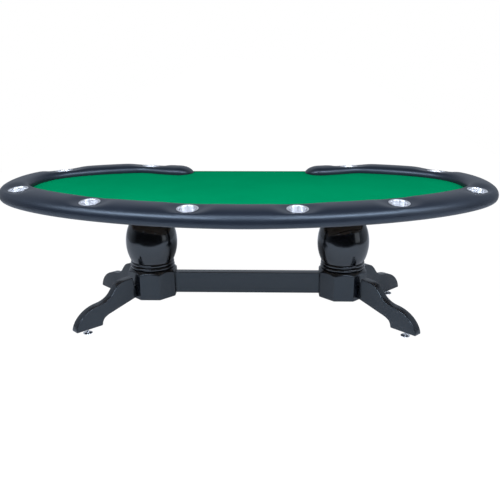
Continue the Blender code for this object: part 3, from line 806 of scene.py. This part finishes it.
    def lift(self, line: Array, c: Array, edge: Array, rim: Array, lip: Array, hang: Array,
             decked: Array, inner: bool) -> tuple[Array, Array]:
        """Fit one line of the section to every ring.

        Args:
            line: (outward, height) rows.
            c: cosine of each ring's turn round the end, 1 along the rail.
            edge: the boards' edge on each ring.
            rim: the skin's outermost reach on each ring.
            lip: thickness of the part outside the boards, as a share of the full one.
            hang: how much of the drop below the cloth each ring keeps.
            decked: whether the deck's corner lies under the ring.
            inner: whether this is the inner line.

        Returns:
            Outward reach and height, by ring and point.
        """
        u, h = line[None, :, 0], line[None, :, 1]
        low = (h < self.floor - 1e-6) & (u > 0.0) & (np.arange(len(line))[None] > len(line) // 3)
        beside = u - self.board_edge
        outside = edge + beside * (rim - edge) / (self.plan.half_width - self.board_edge)
        tucked = edge + beside * lip
        if inner:
            rest = (np.arange(len(line))[None] > np.argmax(line[:, 0] > self.board_edge - 0.002)) & low
            top = np.where(decked, self.floor, self.board_top)
            reach = np.where(rest, tucked, np.minimum(u * c, edge))
            deep = np.where(rest, top - (self.board_top - h) * hang
                            * (top - 0.681) / (self.board_top - 0.681), top)
            return reach, np.where(u <= self.deck_edge, np.maximum(deep, h), deep)
        raised = self.floor + (h - self.floor) * c ** 1.25
        reach = np.where(low, np.where(beside > 0, outside, tucked), u * c)
        return reach, np.where(low, self.floor - (self.floor - h) * hang, raised)

    def mesh(self) -> bpy.types.Mesh:
        """The skin's mesh, with its dips and wells.

        Round each cup, in the cup's own frame, the skin lies seat_depth under the flange out to
        the seat's radius, and returns to its own height h as 1 - exp(-(d/l)^2) of the way, where
        d is the distance past the seat and l is 50 mm where the skin is pressed down and 15 mm
        where it bulges up.  Cells inside a well are left out, and its wall joins the two lines.
        """
        over, under = self.rings()
        rows, columns = over.shape[:2]
        removed = np.zeros((rows - 1, columns - 1), dtype=bool)
        for place in self.cups.frames():
            removed |= self.press(place, over, under)
        numbers = np.arange(rows * columns).reshape(rows, columns)
        beneath = numbers + rows * columns
        kept = ~removed
        cells = [self.cells(numbers, kept), self.cells(beneath, kept)[:, ::-1]]
        between = removed[1:] != removed[:-1]
        r, k = np.nonzero(between)
        cells.append(np.stack([numbers[r + 1, k], numbers[r + 1, k + 1],
                               beneath[r + 1, k + 1], beneath[r + 1, k]], axis=1))
        r, k = np.nonzero(removed[:, 1:] != removed[:, :-1])
        cells.append(np.stack([numbers[r, k + 1], numbers[r + 1, k + 1],
                               beneath[r + 1, k + 1], beneath[r, k + 1]], axis=1))
        faces = np.concatenate(cells)
        used, renumbered = np.unique(faces, return_inverse=True)
        points = np.concatenate([over.reshape(-1, 3), under.reshape(-1, 3)])[used]
        shape = Shape().add(points, renumbered.reshape(-1, 4).tolist())
        return shape.mesh("rail_cover", crease=50.0)

    @staticmethod
    def cells(numbers: Array, kept: Array) -> Array:
        """Corner numbers of the kept cells of a lattice."""
        corners = np.stack([numbers[:-1, :-1], numbers[1:, :-1], numbers[1:, 1:], numbers[:-1, 1:]],
                           axis=-1)
        return corners[kept]

    def press(self, place: Matrix, over: Array, under: Array) -> Array:
        """Press the skin down round one cup and cut its well.

        Args:
            place: the cup's matrix.
            over: the outer lines, changed in place.
            under: the inner lines, changed in place.

        Returns:
            Which cells of the lattice lie in the well.
        """
        m = np.array(place)
        turn, origin = m[:3, :3], m[:3, 3]
        local = (over - origin) @ turn
        radius = np.hypot(local[..., 0], local[..., 1])
        height = local[..., 2]
        near = (radius < 0.24) & (height > -0.030)
        past = np.maximum(radius - self.seat, 0.0)
        rest = height + self.seat_depth
        spread = np.where(rest > 0, 0.050, 0.015)
        back = 1 - np.exp(-(past / spread) ** 2)
        hold = np.where(rest > 0, 1.0, smooth_step((height + 0.019) / 0.011))
        pucker = 0.00022 * np.sin(26 * np.arctan2(local[..., 1], local[..., 0])) * np.exp(
            -(past / 0.010) ** 2) * (radius > self.seat)
        target = height + hold * (rest * back - rest) + pucker
        shift = np.where(near, target - height, 0.0)
        middle = 0.25 * (local[:-1, :-1] + local[1:, :-1] + local[:-1, 1:] + local[1:, 1:])
        inside = (np.hypot(middle[..., 0], middle[..., 1]) < self.well) & (middle[..., 2] > -0.030)
        over += shift[..., None] * turn[:, 2]
        lean = smooth_step((0.070 - radius) / 0.020) * near
        drop = (origin[2] - self.board_top) * turn[:2, 2] / turn[2, 2]
        slid = under[..., :2] - lean[..., None] * drop
        free = (under[..., 2] < self.board_top + 0.001) & near
        under[..., :2] = np.where(free[..., None], slid, under[..., :2])
        touched = np.zeros(over.shape[:2], dtype=bool)
        open_side = np.zeros_like(touched)
        for a, b in ((0, 0), (0, 1), (1, 0), (1, 1)):
            window = (slice(a, a + inside.shape[0]), slice(b, b + inside.shape[1]))
            touched[window] |= inside
            open_side[window] |= ~inside
        rim = touched & open_side
        angle = np.arctan2(local[..., 1], local[..., 0])[rim]
        ring = np.stack([self.well * np.cos(angle), self.well * np.sin(angle), 0 * angle], axis=1)
        flat = ring @ turn.T
        over[rim] = origin + flat - self.seat_depth * turn[:, 2]
        down = (self.board_top - origin[2] - flat[:, 2]) / turn[2, 2]
        under[rim] = origin + flat + down[:, None] * turn[:, 2]
        return inside

    def build(self) -> None:
        """Show the cover and the staples that hold it."""
        nodes = [name for name in frame["nodes"] if name.startswith("rail_padding")]
        cover = show("rail_cover", self.mesh(), RAIL_VINYL, Body.TABLE.value, *nodes)
        show("cover_staples", self.staples(), ZINC_PLATE, Body.TABLE.value)

    def staples(self) -> Shape:
        """Staples along the tucked edge, 40 mm apart: small eased bars laid along the rail."""
        along = np.arange(-self.plan.length + 0.05, self.plan.length - 0.05, 0.040)
        place = self.plan.offset(along, self.tuck_end + 0.0065)
        run = np.stack([-self.plan.outward(along)[:, 1], self.plan.outward(along)[:, 0]], axis=1)
        side = self.plan.outward(along)
        ring = eased(np.array([[-0.0006, -0.0003], [0.0006, -0.0003], [0.0006, 0.0006],
                               [-0.0006, 0.0006]]), 0.0003, 2)
        shape = Shape()
        for centre, forward, across in zip(place, run, side):
            ends = np.array([-0.0055, 0.0055])
            plan = (centre + ends[:, None, None] * forward + ring[None, :, :1] * across)
            height = np.broadcast_to(0.6808 + ring[None, :, 1:], (*plan.shape[:2], 1))
            grid = np.concatenate([plan, height], axis=-1)
            shape.lattice(grid, close_columns=True).cap(grid[0]).cap(grid[-1])
        return shape


@dataclass
class PlayingTop:
    """The stretched cloth, and the band on the boards' straight edge."""

    plan: RailPlan
    inset: float = 0.070
    corner_x: float = 0.44
    stop: float = 0.14
    top: float = 0.7316
    thickness: float = 0.0015
    band_half: float = 0.3485
    band_depth: float = 0.006

    def outline(self) -> Array:
        """The deck's outline: an offset of the rail's line, then two corners on the dealer's side."""
        reach = self.plan.length - self.stop
        curve = self.plan.offset(np.linspace(-reach, reach, 420), -self.inset)
        chord = np.linspace(self.corner_x, -self.corner_x, 60)
        edge = np.stack([chord, np.full(60, self.plan.dealer_y)], axis=1)
        return np.concatenate([curve, edge])

    def cloth(self) -> Shape:
        """The cloth as two skins: points go from a spine to the outline as s + (p - s) t.

        The upper one falls away by 1.0 mm over the last 1.6 mm, where it is pulled over the
        boards' edge, and sinks 0.15 mm in broad soft waves where the foam gives.
        """
        outline = self.outline()
        spine = np.stack([np.clip(outline[:, 0], -0.70, 0.70) * 0.82, np.full(len(outline), 0.035)],
                         axis=1)
        reach = np.linalg.norm(outline - spine, axis=1)
        share = np.concatenate([np.linspace(0.06, 0.985, 24), [1.0]])
        inner = spine[None] + share[:, None, None] * (outline - spine)[None]
        near = outline - (outline - spine) * (0.0018 / reach)[:, None]
        rows = np.concatenate([inner[:-1], near[None], (0.5 * (near + outline))[None], outline[None]])
        fall = np.zeros(len(rows))
        fall[-2:] = (0.0003, 0.0010)
        x, y = rows[..., 0], rows[..., 1]
        wave = 0.00015 * (0.5 + 0.5 * np.sin(7.1 * x + 2.3 * np.sin(5.3 * y)) * np.cos(8.7 * y))
        top = self.top - fall[:, None] - wave
        upper = np.concatenate([rows, top[..., None]], axis=-1)
        low = np.full((*x.shape, 1), self.top - self.thickness)
        lower = np.concatenate([rows, low], axis=-1)[::-1]
        skins = np.concatenate([upper, lower])
        return Shape().lattice(skins, close_columns=True).cap(skins[0]).cap(skins[-1])

    def flat_area(self) -> float:
        """Area inside the outline: half the sum of x1 y2 - x2 y1 round it."""
        p = self.outline()
        q = np.roll(p, -1, axis=0)
        return float(abs(np.sum(p[:, 0] * q[:, 1] - q[:, 0] * p[:, 1])) / 2)

    def band(self) -> Shape:
        """The edge band: an upright section with a rounded face, drawn along the straight edge."""
        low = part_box("dealer_edge_strip")[0].z
        half = (self.top - low) / 2
        depth = self.band_depth / 2
        corners = np.array([[-depth, -half], [depth, -half], [depth, half], [-depth, half]])
        section = eased(corners, np.array([[0.0005], [0.0030], [0.0030], [0.0005]]), 6)
        ease = np.array([0.0, 0.0004, 0.0012])
        stations = np.concatenate([-self.band_half + ease, np.linspace(-0.33, 0.33, 12),
                                   self.band_half - ease[::-1]])
        insets = np.concatenate([[0.0012, 0.0004, 0.0], np.zeros(12), [0.0, 0.0004, 0.0012]])
        bar = swept_bar(section, stations, insets)
        middle = np.array([0.0, self.plan.dealer_y + GAP + depth, low + half])
        bar.points = [points + middle for points in bar.points]
        return bar

    def build(self) -> None:
        """Show the cloth and the band."""
        cloth = show("card_cloth", self.cloth(), PLAYING_GREEN, Body.TABLE.value, "playing_cloth")
        points = self.outline()
        self.flat_area()
        show("edge_band", self.band(), BLACK_BAND, Body.TABLE.value, "dealer_edge_strip")


@dataclass
class CupHolders:
    """Ten spun steel cups with rolled flanges."""

    cups: CupPlan
    flange: float = 0.053
    segments: int = 72

    def profile(self) -> Array:
        """Inside floor to outside floor, over the flange: corners rounded by eased()."""
        rows = np.array([
            (0.0, -0.0682, 0.0), (0.0180, -0.0682, 0.001), (0.0200, -0.0674, 0.001),
            (0.0300, -0.0674, 0.002), (0.0384, -0.0688, 0.006), (0.0428, -0.0030, 0.002),
            (0.0446, -0.0002, 0.002), (0.0505, 0.0000, 0.0015), (self.flange, -0.0004, 0.0008),
            (self.flange, -0.0018, 0.0006), (0.0505, -0.0020, 0.0006), (0.0441, -0.0020, 0.001),
            (0.0398, -0.0700, 0.006), (0.0300, -0.0686, 0.002), (0.0200, -0.0686, 0.001),
            (0.0, -0.0694, 0.0)])
        line = eased(rows[:, :2], rows[:, 2:], 6, closed=False)
        steps = np.linalg.norm(np.diff(line, axis=0), axis=1)
        return line[np.concatenate([[True], steps > 1e-7])]

    def build(self) -> None:
        """Show each cup on its own body."""
        profile = self.profile()
        for number, place in enumerate(self.cups.frames(), start=1):
            shape = turned_shape(profile, self.segments, place)
            show(f"steel_cup_{number}", shape, CUP_STEEL, f"cup_{number}", f"cup_holder_{number}")


@dataclass
class Underside:
    """Screws that hold the mounting plates and the battens up to the deck."""

    head: float = 0.0046
    corner: float = 0.132

    def head_profile(self) -> Array:
        """A pan head that hangs down: (radius, depth), with its driver hole as a small cone."""
        return np.array([(0.0, -0.0009), (0.0012, -0.0016), (0.0016, -0.0023), (0.0032, -0.0021),
                         (self.head, -0.0008), (self.head, 0.0), (0.0, 0.0)])

    def places(self) -> Array:
        """Screws at the plates' corners and along each batten."""
        found = []
        for side in ("left", "right"):
            low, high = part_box(f"mounting_plate_{side}")
            middle = (low + high) / 2
            found += [(middle.x + i * self.corner, middle.y + j * self.corner)
                      for i in (-1, 1) for j in (-1, 1)]
        for word in ("front", "back"):
            low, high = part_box(f"deck_batten_{word}")
            found += [(x, (low.y + high.y) / 2) for x in np.linspace(low.x + 0.03, high.x - 0.03, 5)]
        return np.array(found)

    def build(self) -> None:
        """Show every screw head as one piece."""
        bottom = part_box("mounting_plate_left")[0].z
        shape = Shape()
        for x, y in self.places():
            part = turned_shape(self.head_profile(), 14, Matrix.Translation((x, y, bottom - 0.00002)))
            shape.add(part.points[0], part.faces)
        show("board_screws", shape, ZINC_PLATE, Body.TABLE.value)


# ---------------------------------------------------------------- pedestals

@dataclass
class Pedestal:
    """A turned column on an octagonal block."""

    label: str
    place: Matrix
    foot_z: float = 0.2803
    bulb_z: float = 0.428
    bulb_radius: float = 0.143
    bulb_half: float = 0.189
    bore: float = 0.0066
    apothem: float = 0.130
    bottom: float = 0.119
    top: float = 0.280
    top_radius: float = 0.122
    segments: int = 128

    @staticmethod
    def bead(radius: float, middle: float, half: float, depth: float = 0.009) -> Array:
        """A half-round moulding: radius - depth + depth cos a, middle + half sin a."""
        a = np.linspace(-math.pi / 2, math.pi / 2, 13)
        return np.stack([radius - depth + depth * np.cos(a), middle + half * np.sin(a)], axis=1)

    def column_profile(self) -> Array:
        """Foot, two beads, an elliptic bulb R sqrt(1 - ((z - m)/h)^2), a bead and a capital."""
        z = np.linspace(0.3215, 0.5745, 56)
        bulb = np.stack([self.bulb_radius * np.sqrt(1 - ((z - self.bulb_z) / self.bulb_half) ** 2), z],
                        axis=1)
        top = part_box(f"turned_column_{self.label}")[1].z
        cove = bezier([(0.096, 0.5935), (0.104, 0.6000), (0.124, 0.604), (0.124, 0.622)], 12)
        low = self.foot_z
        return np.concatenate([
            [(self.bore, low), (0.1125, low), (0.114, low + 0.0012)],
            self.bead(0.124, low + 0.011, 0.009), self.bead(0.122, low + 0.0305, 0.010), bulb,
            self.bead(0.103, 0.584, 0.009), cove,
            [(0.124, top - 0.001), (0.123, top), (self.bore, top)]])

    def octagon(self) -> tuple[Array, Array]:
        """Angles round the block, closest at the corners, and apothem / cos of each from its face."""
        t = np.linspace(-1, 1, 19)[:-1]
        within = (math.pi / 8) * (1.5 * t - 0.5 * t ** 3)
        angle = (np.arange(8)[:, None] * math.pi / 4 + within[None]).ravel()
        return angle, np.tile(self.apothem / np.cos(within), 8)

    def block(self) -> Shape:
        """The block: radius is the soft lesser of the octagon's and a 45-degree cone's.

        Soft lesser of a and b is (a + b - sqrt((a - b)^2 + k^2)) / 2.
        """
        def lesser(a: Array, b: Array, k: float) -> Array:
            """Soft lesser of two radii."""
            return 0.5 * (a + b - np.sqrt((a - b) ** 2 + k * k))

        angle, octagon = self.octagon()
        corner = self.apothem / math.cos(math.pi / 8)
        octagon = lesser(octagon, np.full_like(octagon, corner + 0.0002), 0.0016)
        ease = np.array([0.0, 0.0003, 0.0008, 0.0016])
        z = np.concatenate([self.bottom + ease, np.linspace(self.bottom + 0.01, 0.256, 6),
                            np.linspace(0.2575, self.top - 0.0012, 30), [self.top - 0.0004, self.top]])
        drawn = np.interp(z, self.bottom + ease, [0.0016, 0.0008, 0.0003, 0.0])
        drawn += np.interp(z, [self.top - 0.0012, self.top - 0.0004, self.top], [0.0, 0.0002, 0.0012])
        cone = self.top_radius + (self.top - z)
        radius = lesser(octagon[None], cone[:, None], 0.0022) - drawn[:, None]
        inner = [(self.bore, self.top), (self.bore, 0.133), (0.0165, 0.133), (0.0165, self.bottom)]
        radius = np.concatenate([radius, [np.full_like(angle, r) for r, _ in inner]])
        z = np.concatenate([z, [h for _, h in inner]])
        grid = np.stack([radius * np.cos(angle), radius * np.sin(angle), z[:, None] + 0 * angle],
                        axis=-1)
        return Shape().lattice(moved(grid, self.place), close_rows=True, close_columns=True)

    def build(self) -> None:
        """Show the column and the block."""
        column = turned_shape(self.column_profile(), self.segments, self.place)
        show(f"column_{self.label}", column, COLUMN_LACQUER, Body.TABLE.value,
             f"turned_column_{self.label}", crease=32.0)
        show(f"block_{self.label}", self.block(), LEG_LACQUER, Body.TABLE.value,
             f"octagon_block_{self.label}", crease=40.0)


@dataclass
class Leg:
    """A scroll-sawn leg with its levelling foot."""

    label: str
    place: Matrix
    face: float = 0.1303
    flat: float = 0.029
    half: float = 0.024
    ease: float = 0.0026
    foot_reach: float = 0.444
    stem_top: float = 0.062

    def outline(self) -> Array:
        """Side of the leg, (distance from the pedestal's axis, height), as a row of cubic curves."""
        parts = [
            bezier([(self.face, 0.251), (0.165, 0.249), (0.192, 0.247), (0.213, 0.245)], 5),
            bezier([(0.213, 0.245), (0.246, 0.241), (0.262, 0.222), (0.283, 0.195)], 16),
            bezier([(0.283, 0.195), (0.305, 0.166), (0.335, 0.152), (0.380, 0.148)], 16),
            bezier([(0.380, 0.148), (0.452, 0.139), (0.511, 0.093), (0.522, 0.036)], 26),
            bezier([(0.522, 0.036), (0.5215, 0.032), (0.521, self.flat), (0.5170, self.flat)], 6),
            bezier([(0.5170, self.flat), (0.47, self.flat), (0.41, self.flat), (0.3650, self.flat)], 8),
            bezier([(0.3650, self.flat), (0.3600, 0.030), (0.3605, 0.047), (0.356, 0.053)], 7),
            bezier([(0.356, 0.053), (0.350, 0.068), (0.338, 0.073), (0.320, 0.081)], 8),
            bezier([(0.320, 0.081), (0.257, 0.099), (0.193, 0.117), (self.face, 0.135)], 8),
        ]
        return np.concatenate([part[1:] for part in parts])

    def shape(self) -> Shape:
        """The outline drawn through the thickness, its edges rounded by a quarter circle.

        A ring at angle a of the edge lies r (1 - cos a) inside the outline and
        half - r + r sin a from the middle.
        """
        line = self.outline()
        run = np.roll(line, -1, axis=0) - np.roll(line, 1, axis=0)
        run /= np.linalg.norm(run, axis=1, keepdims=True)
        inward = np.stack([run[:, 1], -run[:, 0]], axis=1)
        a = np.linspace(0, math.pi / 2, 5)
        inset = self.ease * (1 - np.cos(a))
        y = self.half - self.ease + self.ease * np.sin(a)
        inset = np.concatenate([inset[::-1], inset])
        y = np.concatenate([-y[::-1], y])
        rings = line[None] + inset[:, None, None] * inward[None]
        grid = np.stack([rings[..., 0], np.broadcast_to(y[:, None], rings.shape[:2]), rings[..., 1]],
                        axis=-1)
        grid = moved(grid, self.place)
        return Shape().lattice(grid, close_columns=True).cap(grid[0]).cap(grid[-1])

    def insert(self) -> Shape:
        """The threaded insert, with the thin flange that shows under the leg."""
        low = self.flat
        profile = np.array([(0.0056, low - 0.0009), (0.0112, low - 0.0009), (0.0118, low - 0.0005),
                            (0.0118, low - 0.00005), (0.0090, low + 0.0001), (0.0090, low + 0.020),
                            (0.0056, low + 0.020)])
        return turned_shape(profile, 40, self.foot_matrix())

    def foot_matrix(self) -> Matrix:
        """Where the levelling foot's own axis stands."""
        return self.place @ Matrix.Translation((self.foot_reach, 0.0, 0.0))

    def stem(self, pitch: float = 0.0015, radius: float = 0.0050, depth: float = 0.00075) -> Shape:
        """The screw: radius - depth * |2 frac(z / pitch - a / 2 pi) - 1| on a grid of a and z."""
        low, high = 0.0053, self.stem_top
        z = np.linspace(low, high, int((high - low) / pitch * 6) + 1)
        angle = np.linspace(0, 2 * math.pi, 24, endpoint=False)
        turn = (z[:, None] / pitch - angle[None] / (2 * math.pi)) % 1.0
        fade = np.clip(np.minimum(z - low, high - z) / 0.0012, 0, 1)[:, None]
        r = radius - depth * (np.abs(2 * turn - 1) * fade + (1 - fade))
        grid = np.stack([r * np.cos(angle), r * np.sin(angle), z[:, None] + 0 * angle], axis=-1)
        grid = moved(grid, self.foot_matrix())
        return Shape().lattice(grid, close_columns=True).cap(grid[0]).cap(grid[-1])

    def pad(self) -> Shape:
        """The foot: a dished disc with a turned boss, its corners rounded by eased()."""
        rows = np.array([
            (0.0, 0.0, 0.0), (0.0210, 0.0, 0.001), (0.0230, 0.0004, 0.001), (0.0250, 0.0022, 0.0008),
            (0.0250, 0.0048, 0.0006), (0.0238, 0.0056, 0.0006), (0.0165, 0.0088, 0.003),
            (0.0115, 0.0096, 0.001), (0.0112, 0.0116, 0.0006), (0.0105, 0.0120, 0.0004),
            (0.0054, 0.0120, 0.0004), (0.0054, 0.0050, 0.0003), (0.0, 0.0050, 0.0)])
        line = eased(rows[:, :2], rows[:, 2:], 5, closed=False)
        steps = np.linalg.norm(np.diff(line, axis=0), axis=1)
        return turned_shape(line[np.concatenate([[True], steps > 1e-7])], 56, self.foot_matrix())

    def build(self) -> None:
        """Show the leg and its insert on the table, the screw and the pad on their own body."""
        body = f"leveller_{self.label}"
        show(f"leg_{self.label}", self.shape(), LEG_LACQUER, Body.TABLE.value,
             f"scroll_leg_{self.label}", crease=40.0)
        show(f"insert_{self.label}", self.insert(), ZINC_PLATE, Body.TABLE.value,
             f"threaded_insert_{self.label}")
        show(f"foot_screw_{self.label}", self.stem(), FOOT_CHROME, body,
             f"leveller_stem_{self.label}", crease=70.0)
        show(f"foot_pad_{self.label}", self.pad(), FOOT_CHROME, body, f"leveller_pad_{self.label}")


@dataclass
class Base:
    """Both pedestals, their four legs and the stretcher between them."""

    plan: RailPlan
    x: float = 0.5365

    def pedestal_place(self, side: int) -> Matrix:
        """Where a pedestal's axis stands."""
        return Matrix.Translation((side * self.x, self.plan.shift, 0.0))

    def stretcher(self) -> Shape:
        """The upright board between the blocks, with eased edges."""
        low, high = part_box("stretcher")
        half = (high - low) / 2
        corners = np.array([[-half.y, -half.z], [half.y, -half.z], [half.y, half.z], [-half.y, half.z]])
        section = eased(corners, 0.0026, 6)
        stations = np.linspace(-half.x, half.x, 14)
        bar = swept_bar(section, stations, np.zeros(14))
        middle = np.array((low + high) / 2)
        bar.points = [points + middle for points in bar.points]
        return bar

    def build(self) -> None:
        """Show the whole base."""
        show("stretcher_bar", self.stretcher(), LEG_LACQUER, Body.TABLE.value, "stretcher",
             crease=40.0)
        for side, label in ((-1, "left"), (1, "right")):
            place = self.pedestal_place(side)
            Pedestal(label, place).build()
            for way, word in ((-1, "front"), (1, "back")):
                turn = Matrix.Rotation(math.atan2(way, side), 4, "Z")
                Leg(f"{word}_{label}", place @ turn).build()


# ---------------------------------------------------------------- kept CAD nodes and the studio

def dress_frame() -> None:
    """Give every CAD node that stays its procedural finish."""
    finishes = {Slot.PLYWOOD.value: BIRCH_PLY, Slot.FOAM.value: PALE_FOAM, Slot.ZINC.value: ZINC_PLATE,
                Slot.CHROME.value: FOOT_CHROME, Slot.BLACK_EDGE.value: BLACK_BAND,
                Slot.SATIN_BLACK.value: LEG_LACQUER, Slot.GLOSS_BLACK.value: COLUMN_LACQUER}
    slots = {part["node"]: part["material_slot"] for part in frame["record"]["subparts"]}
    for name, node in frame["nodes"].items():
        if node.hide_render:
            continue
        finish = finishes[slots[name]]
        node.data.materials.clear()
        node.data.materials.append(finish.material())
        log.info("%s: kept, in %s", name, finish.name)


@dataclass
class Studio:
    """Pale floor, soft lights, white surround and the camera."""

    floor_side: float = 2.9
    floor_back: float = 30.0
    floor_front: float = -1.9
    wall: tuple[tuple[float, float], ...] = ((0.0, 0.36), (0.17, 0.46), (0.34, 0.52), (0.50, 0.54),
                                             (0.69, 0.48), (0.80, 0.28), (0.90, 0.07), (1.0, 0.02))
    lens: float = 51.24
    eye: tuple[float, float, float] = (0.139, -3.7577, 1.587)
    yaw: float = math.radians(-1.846)
    pitch: float = math.radians(17.63)
    roll: float = math.radians(-0.28)

    def camera(self) -> None:
        """Camera from its turn: forward from yaw and pitch, then rolled about the view."""
        forward = Vector((math.sin(self.yaw) * math.cos(self.pitch),
                          math.cos(self.yaw) * math.cos(self.pitch), -math.sin(self.pitch)))
        right = Vector((math.cos(self.yaw), -math.sin(self.yaw), 0.0))
        up = right.cross(forward)
        turn = math.cos(self.roll), math.sin(self.roll)
        axis_x = turn[0] * right + turn[1] * up
        axis_y = turn[0] * up - turn[1] * right
        data = bpy.data.cameras.new("camera")
        data.lens = self.lens
        data.sensor_width = 36.0
        data.clip_end = 200.0
        item = bpy.data.objects.new("camera", data)
        item.matrix_world = Matrix.Translation(self.eye) @ Matrix(
            (axis_x, axis_y, -forward)).transposed().to_4x4()
        bpy.context.scene.collection.objects.link(item)
        bpy.context.scene.camera = item

    def light(self, name: str, size: tuple[float, float], power: float, at: tuple[float, ...],
              to: tuple[float, ...], colour: tuple[float, float, float]) -> None:
        """Add one soft rectangular light.

        Args:
            name: its name.
            size: width and height in metres.
            power: watts.
            at: where it hangs.
            to: the point that it faces.
            colour: its colour.
        """
        data = bpy.data.lights.new(name, "AREA")
        data.shape = "RECTANGLE"
        data.size, data.size_y = size
        data.energy = power
        data.color = colour
        item = bpy.data.objects.new(name, data)
        item.location = at
        item.rotation_euler = (Vector(to) - Vector(at)).to_track_quat("-Z", "Y").to_euler()
        bpy.context.scene.collection.objects.link(item)

    def surround(self) -> None:
        """White to the camera; to the table, a wall behind it that fades overhead, and dark in front."""
        world = bpy.data.worlds.new("studio")
        world.use_nodes = True
        bpy.context.scene.world = world
        shader = Shader(world.node_tree)
        ground = world.node_tree.nodes["Background"]
        way = shader.node("ShaderNodeSeparateXYZ",
                          {"Vector": shader.node("ShaderNodeTexCoord").outputs["Generated"]})
        rise = shader.node("ShaderNodeValToRGB", {"Fac": way.outputs["Z"]},
                           stops=[(place, (tone, tone, tone)) for place, tone in self.wall])
        wall = Flow(shader, rise.outputs[0]) * Flow(shader, way.outputs["Y"]).over(-0.15, 0.70)
        seen = Flow(shader, shader.node("ShaderNodeLightPath").outputs["Is Camera Ray"])
        glow = shader.mix(wall + 0.03, (0.0, 0.0, 0.0), (0.88, 0.97, 1.12))
        shader.feed(ground.inputs["Color"], shader.mix(seen, glow, (1.0, 1.0, 1.0)))
        ground.inputs["Strength"].default_value = 1.0

    def floor(self) -> None:
        """A wide pale sheet of floor that ends in front of the table, faintly uneven."""
        side, near, far = self.floor_side, self.floor_front, self.floor_back
        grid = np.array([[(-side, near, 0.0), (side, near, 0.0)], [(-side, far, 0.0), (side, far, 0.0)]])
        mesh = Shape().lattice(grid).mesh("floor")
        item = bpy.data.objects.new("floor", mesh)
        bpy.context.scene.collection.objects.link(item)
        made = bpy.data.materials.new("floor_paint")
        made.use_nodes = True
        shader = Shader(made.node_tree)
        surface = made.node_tree.nodes["Principled BSDF"]
        tone = shader.mix(shader.noise(0.4, 2.0), (0.80, 0.80, 0.80), (0.84, 0.84, 0.84))
        shader.feed(surface.inputs["Base Color"], tone)
        surface.inputs["Roughness"].default_value = 0.9
        bright = shader.node("ShaderNodeEmission", {"Color": (1.0, 1.0, 1.0, 1.0), "Strength": 1.05})
        seen = Flow(shader, shader.node("ShaderNodeLightPath").outputs["Is Camera Ray"])
        blend = shader.node("ShaderNodeMixShader",
                            {0: seen * 0.95, 1: surface.outputs[0], 2: bright.outputs[0]})
        shader.feed(made.node_tree.nodes["Material Output"].inputs["Surface"], blend.outputs[0])
        mesh.materials.append(made)

    def build(self) -> None:
        """Set up camera, floor, surround and lights."""
        self.camera()
        self.floor()
        self.surround()
        for side, word in ((-1, "left"), (1, "right")):
            self.light(f"key_{word}", (2.8, 0.9), 122.0, (side * 1.95, -2.7, 3.0),
                       (side * 0.5, -0.1, 0.7), (0.86, 0.96, 1.14))
            self.light(f"wing_{word}", (1.6, 1.6), 34.0, (side * 3.6, -1.9, 2.7),
                       (side * 0.9, -0.3, 0.7), (0.86, 0.96, 1.14))
        self.light("key_middle", (1.7, 0.6), 24.0, (-0.1, -1.85, 3.0), (0.0, -0.1, 0.7),
                   (0.86, 0.96, 1.14))
        self.light("side_strip", (1.4, 1.8), 8.0, (3.4, -1.6, 1.1), (0.5, 0.0, 0.45),
                   (0.96, 0.98, 1.02))
        bpy.context.scene.view_settings.view_transform = "Standard"


def main() -> None:
    logging.basicConfig(level=logging.INFO, format="%(name)s %(message)s")
    plan = RailPlan()
    cups = CupPlan(plan)
    Studio().build()
    RailCover(plan, cups).build()
    PlayingTop(plan).build()
    CupHolders(cups).build()
    Underside().build()
    Base(plan).build()
    dress_frame()


if __name__ == "__main__":
    main()
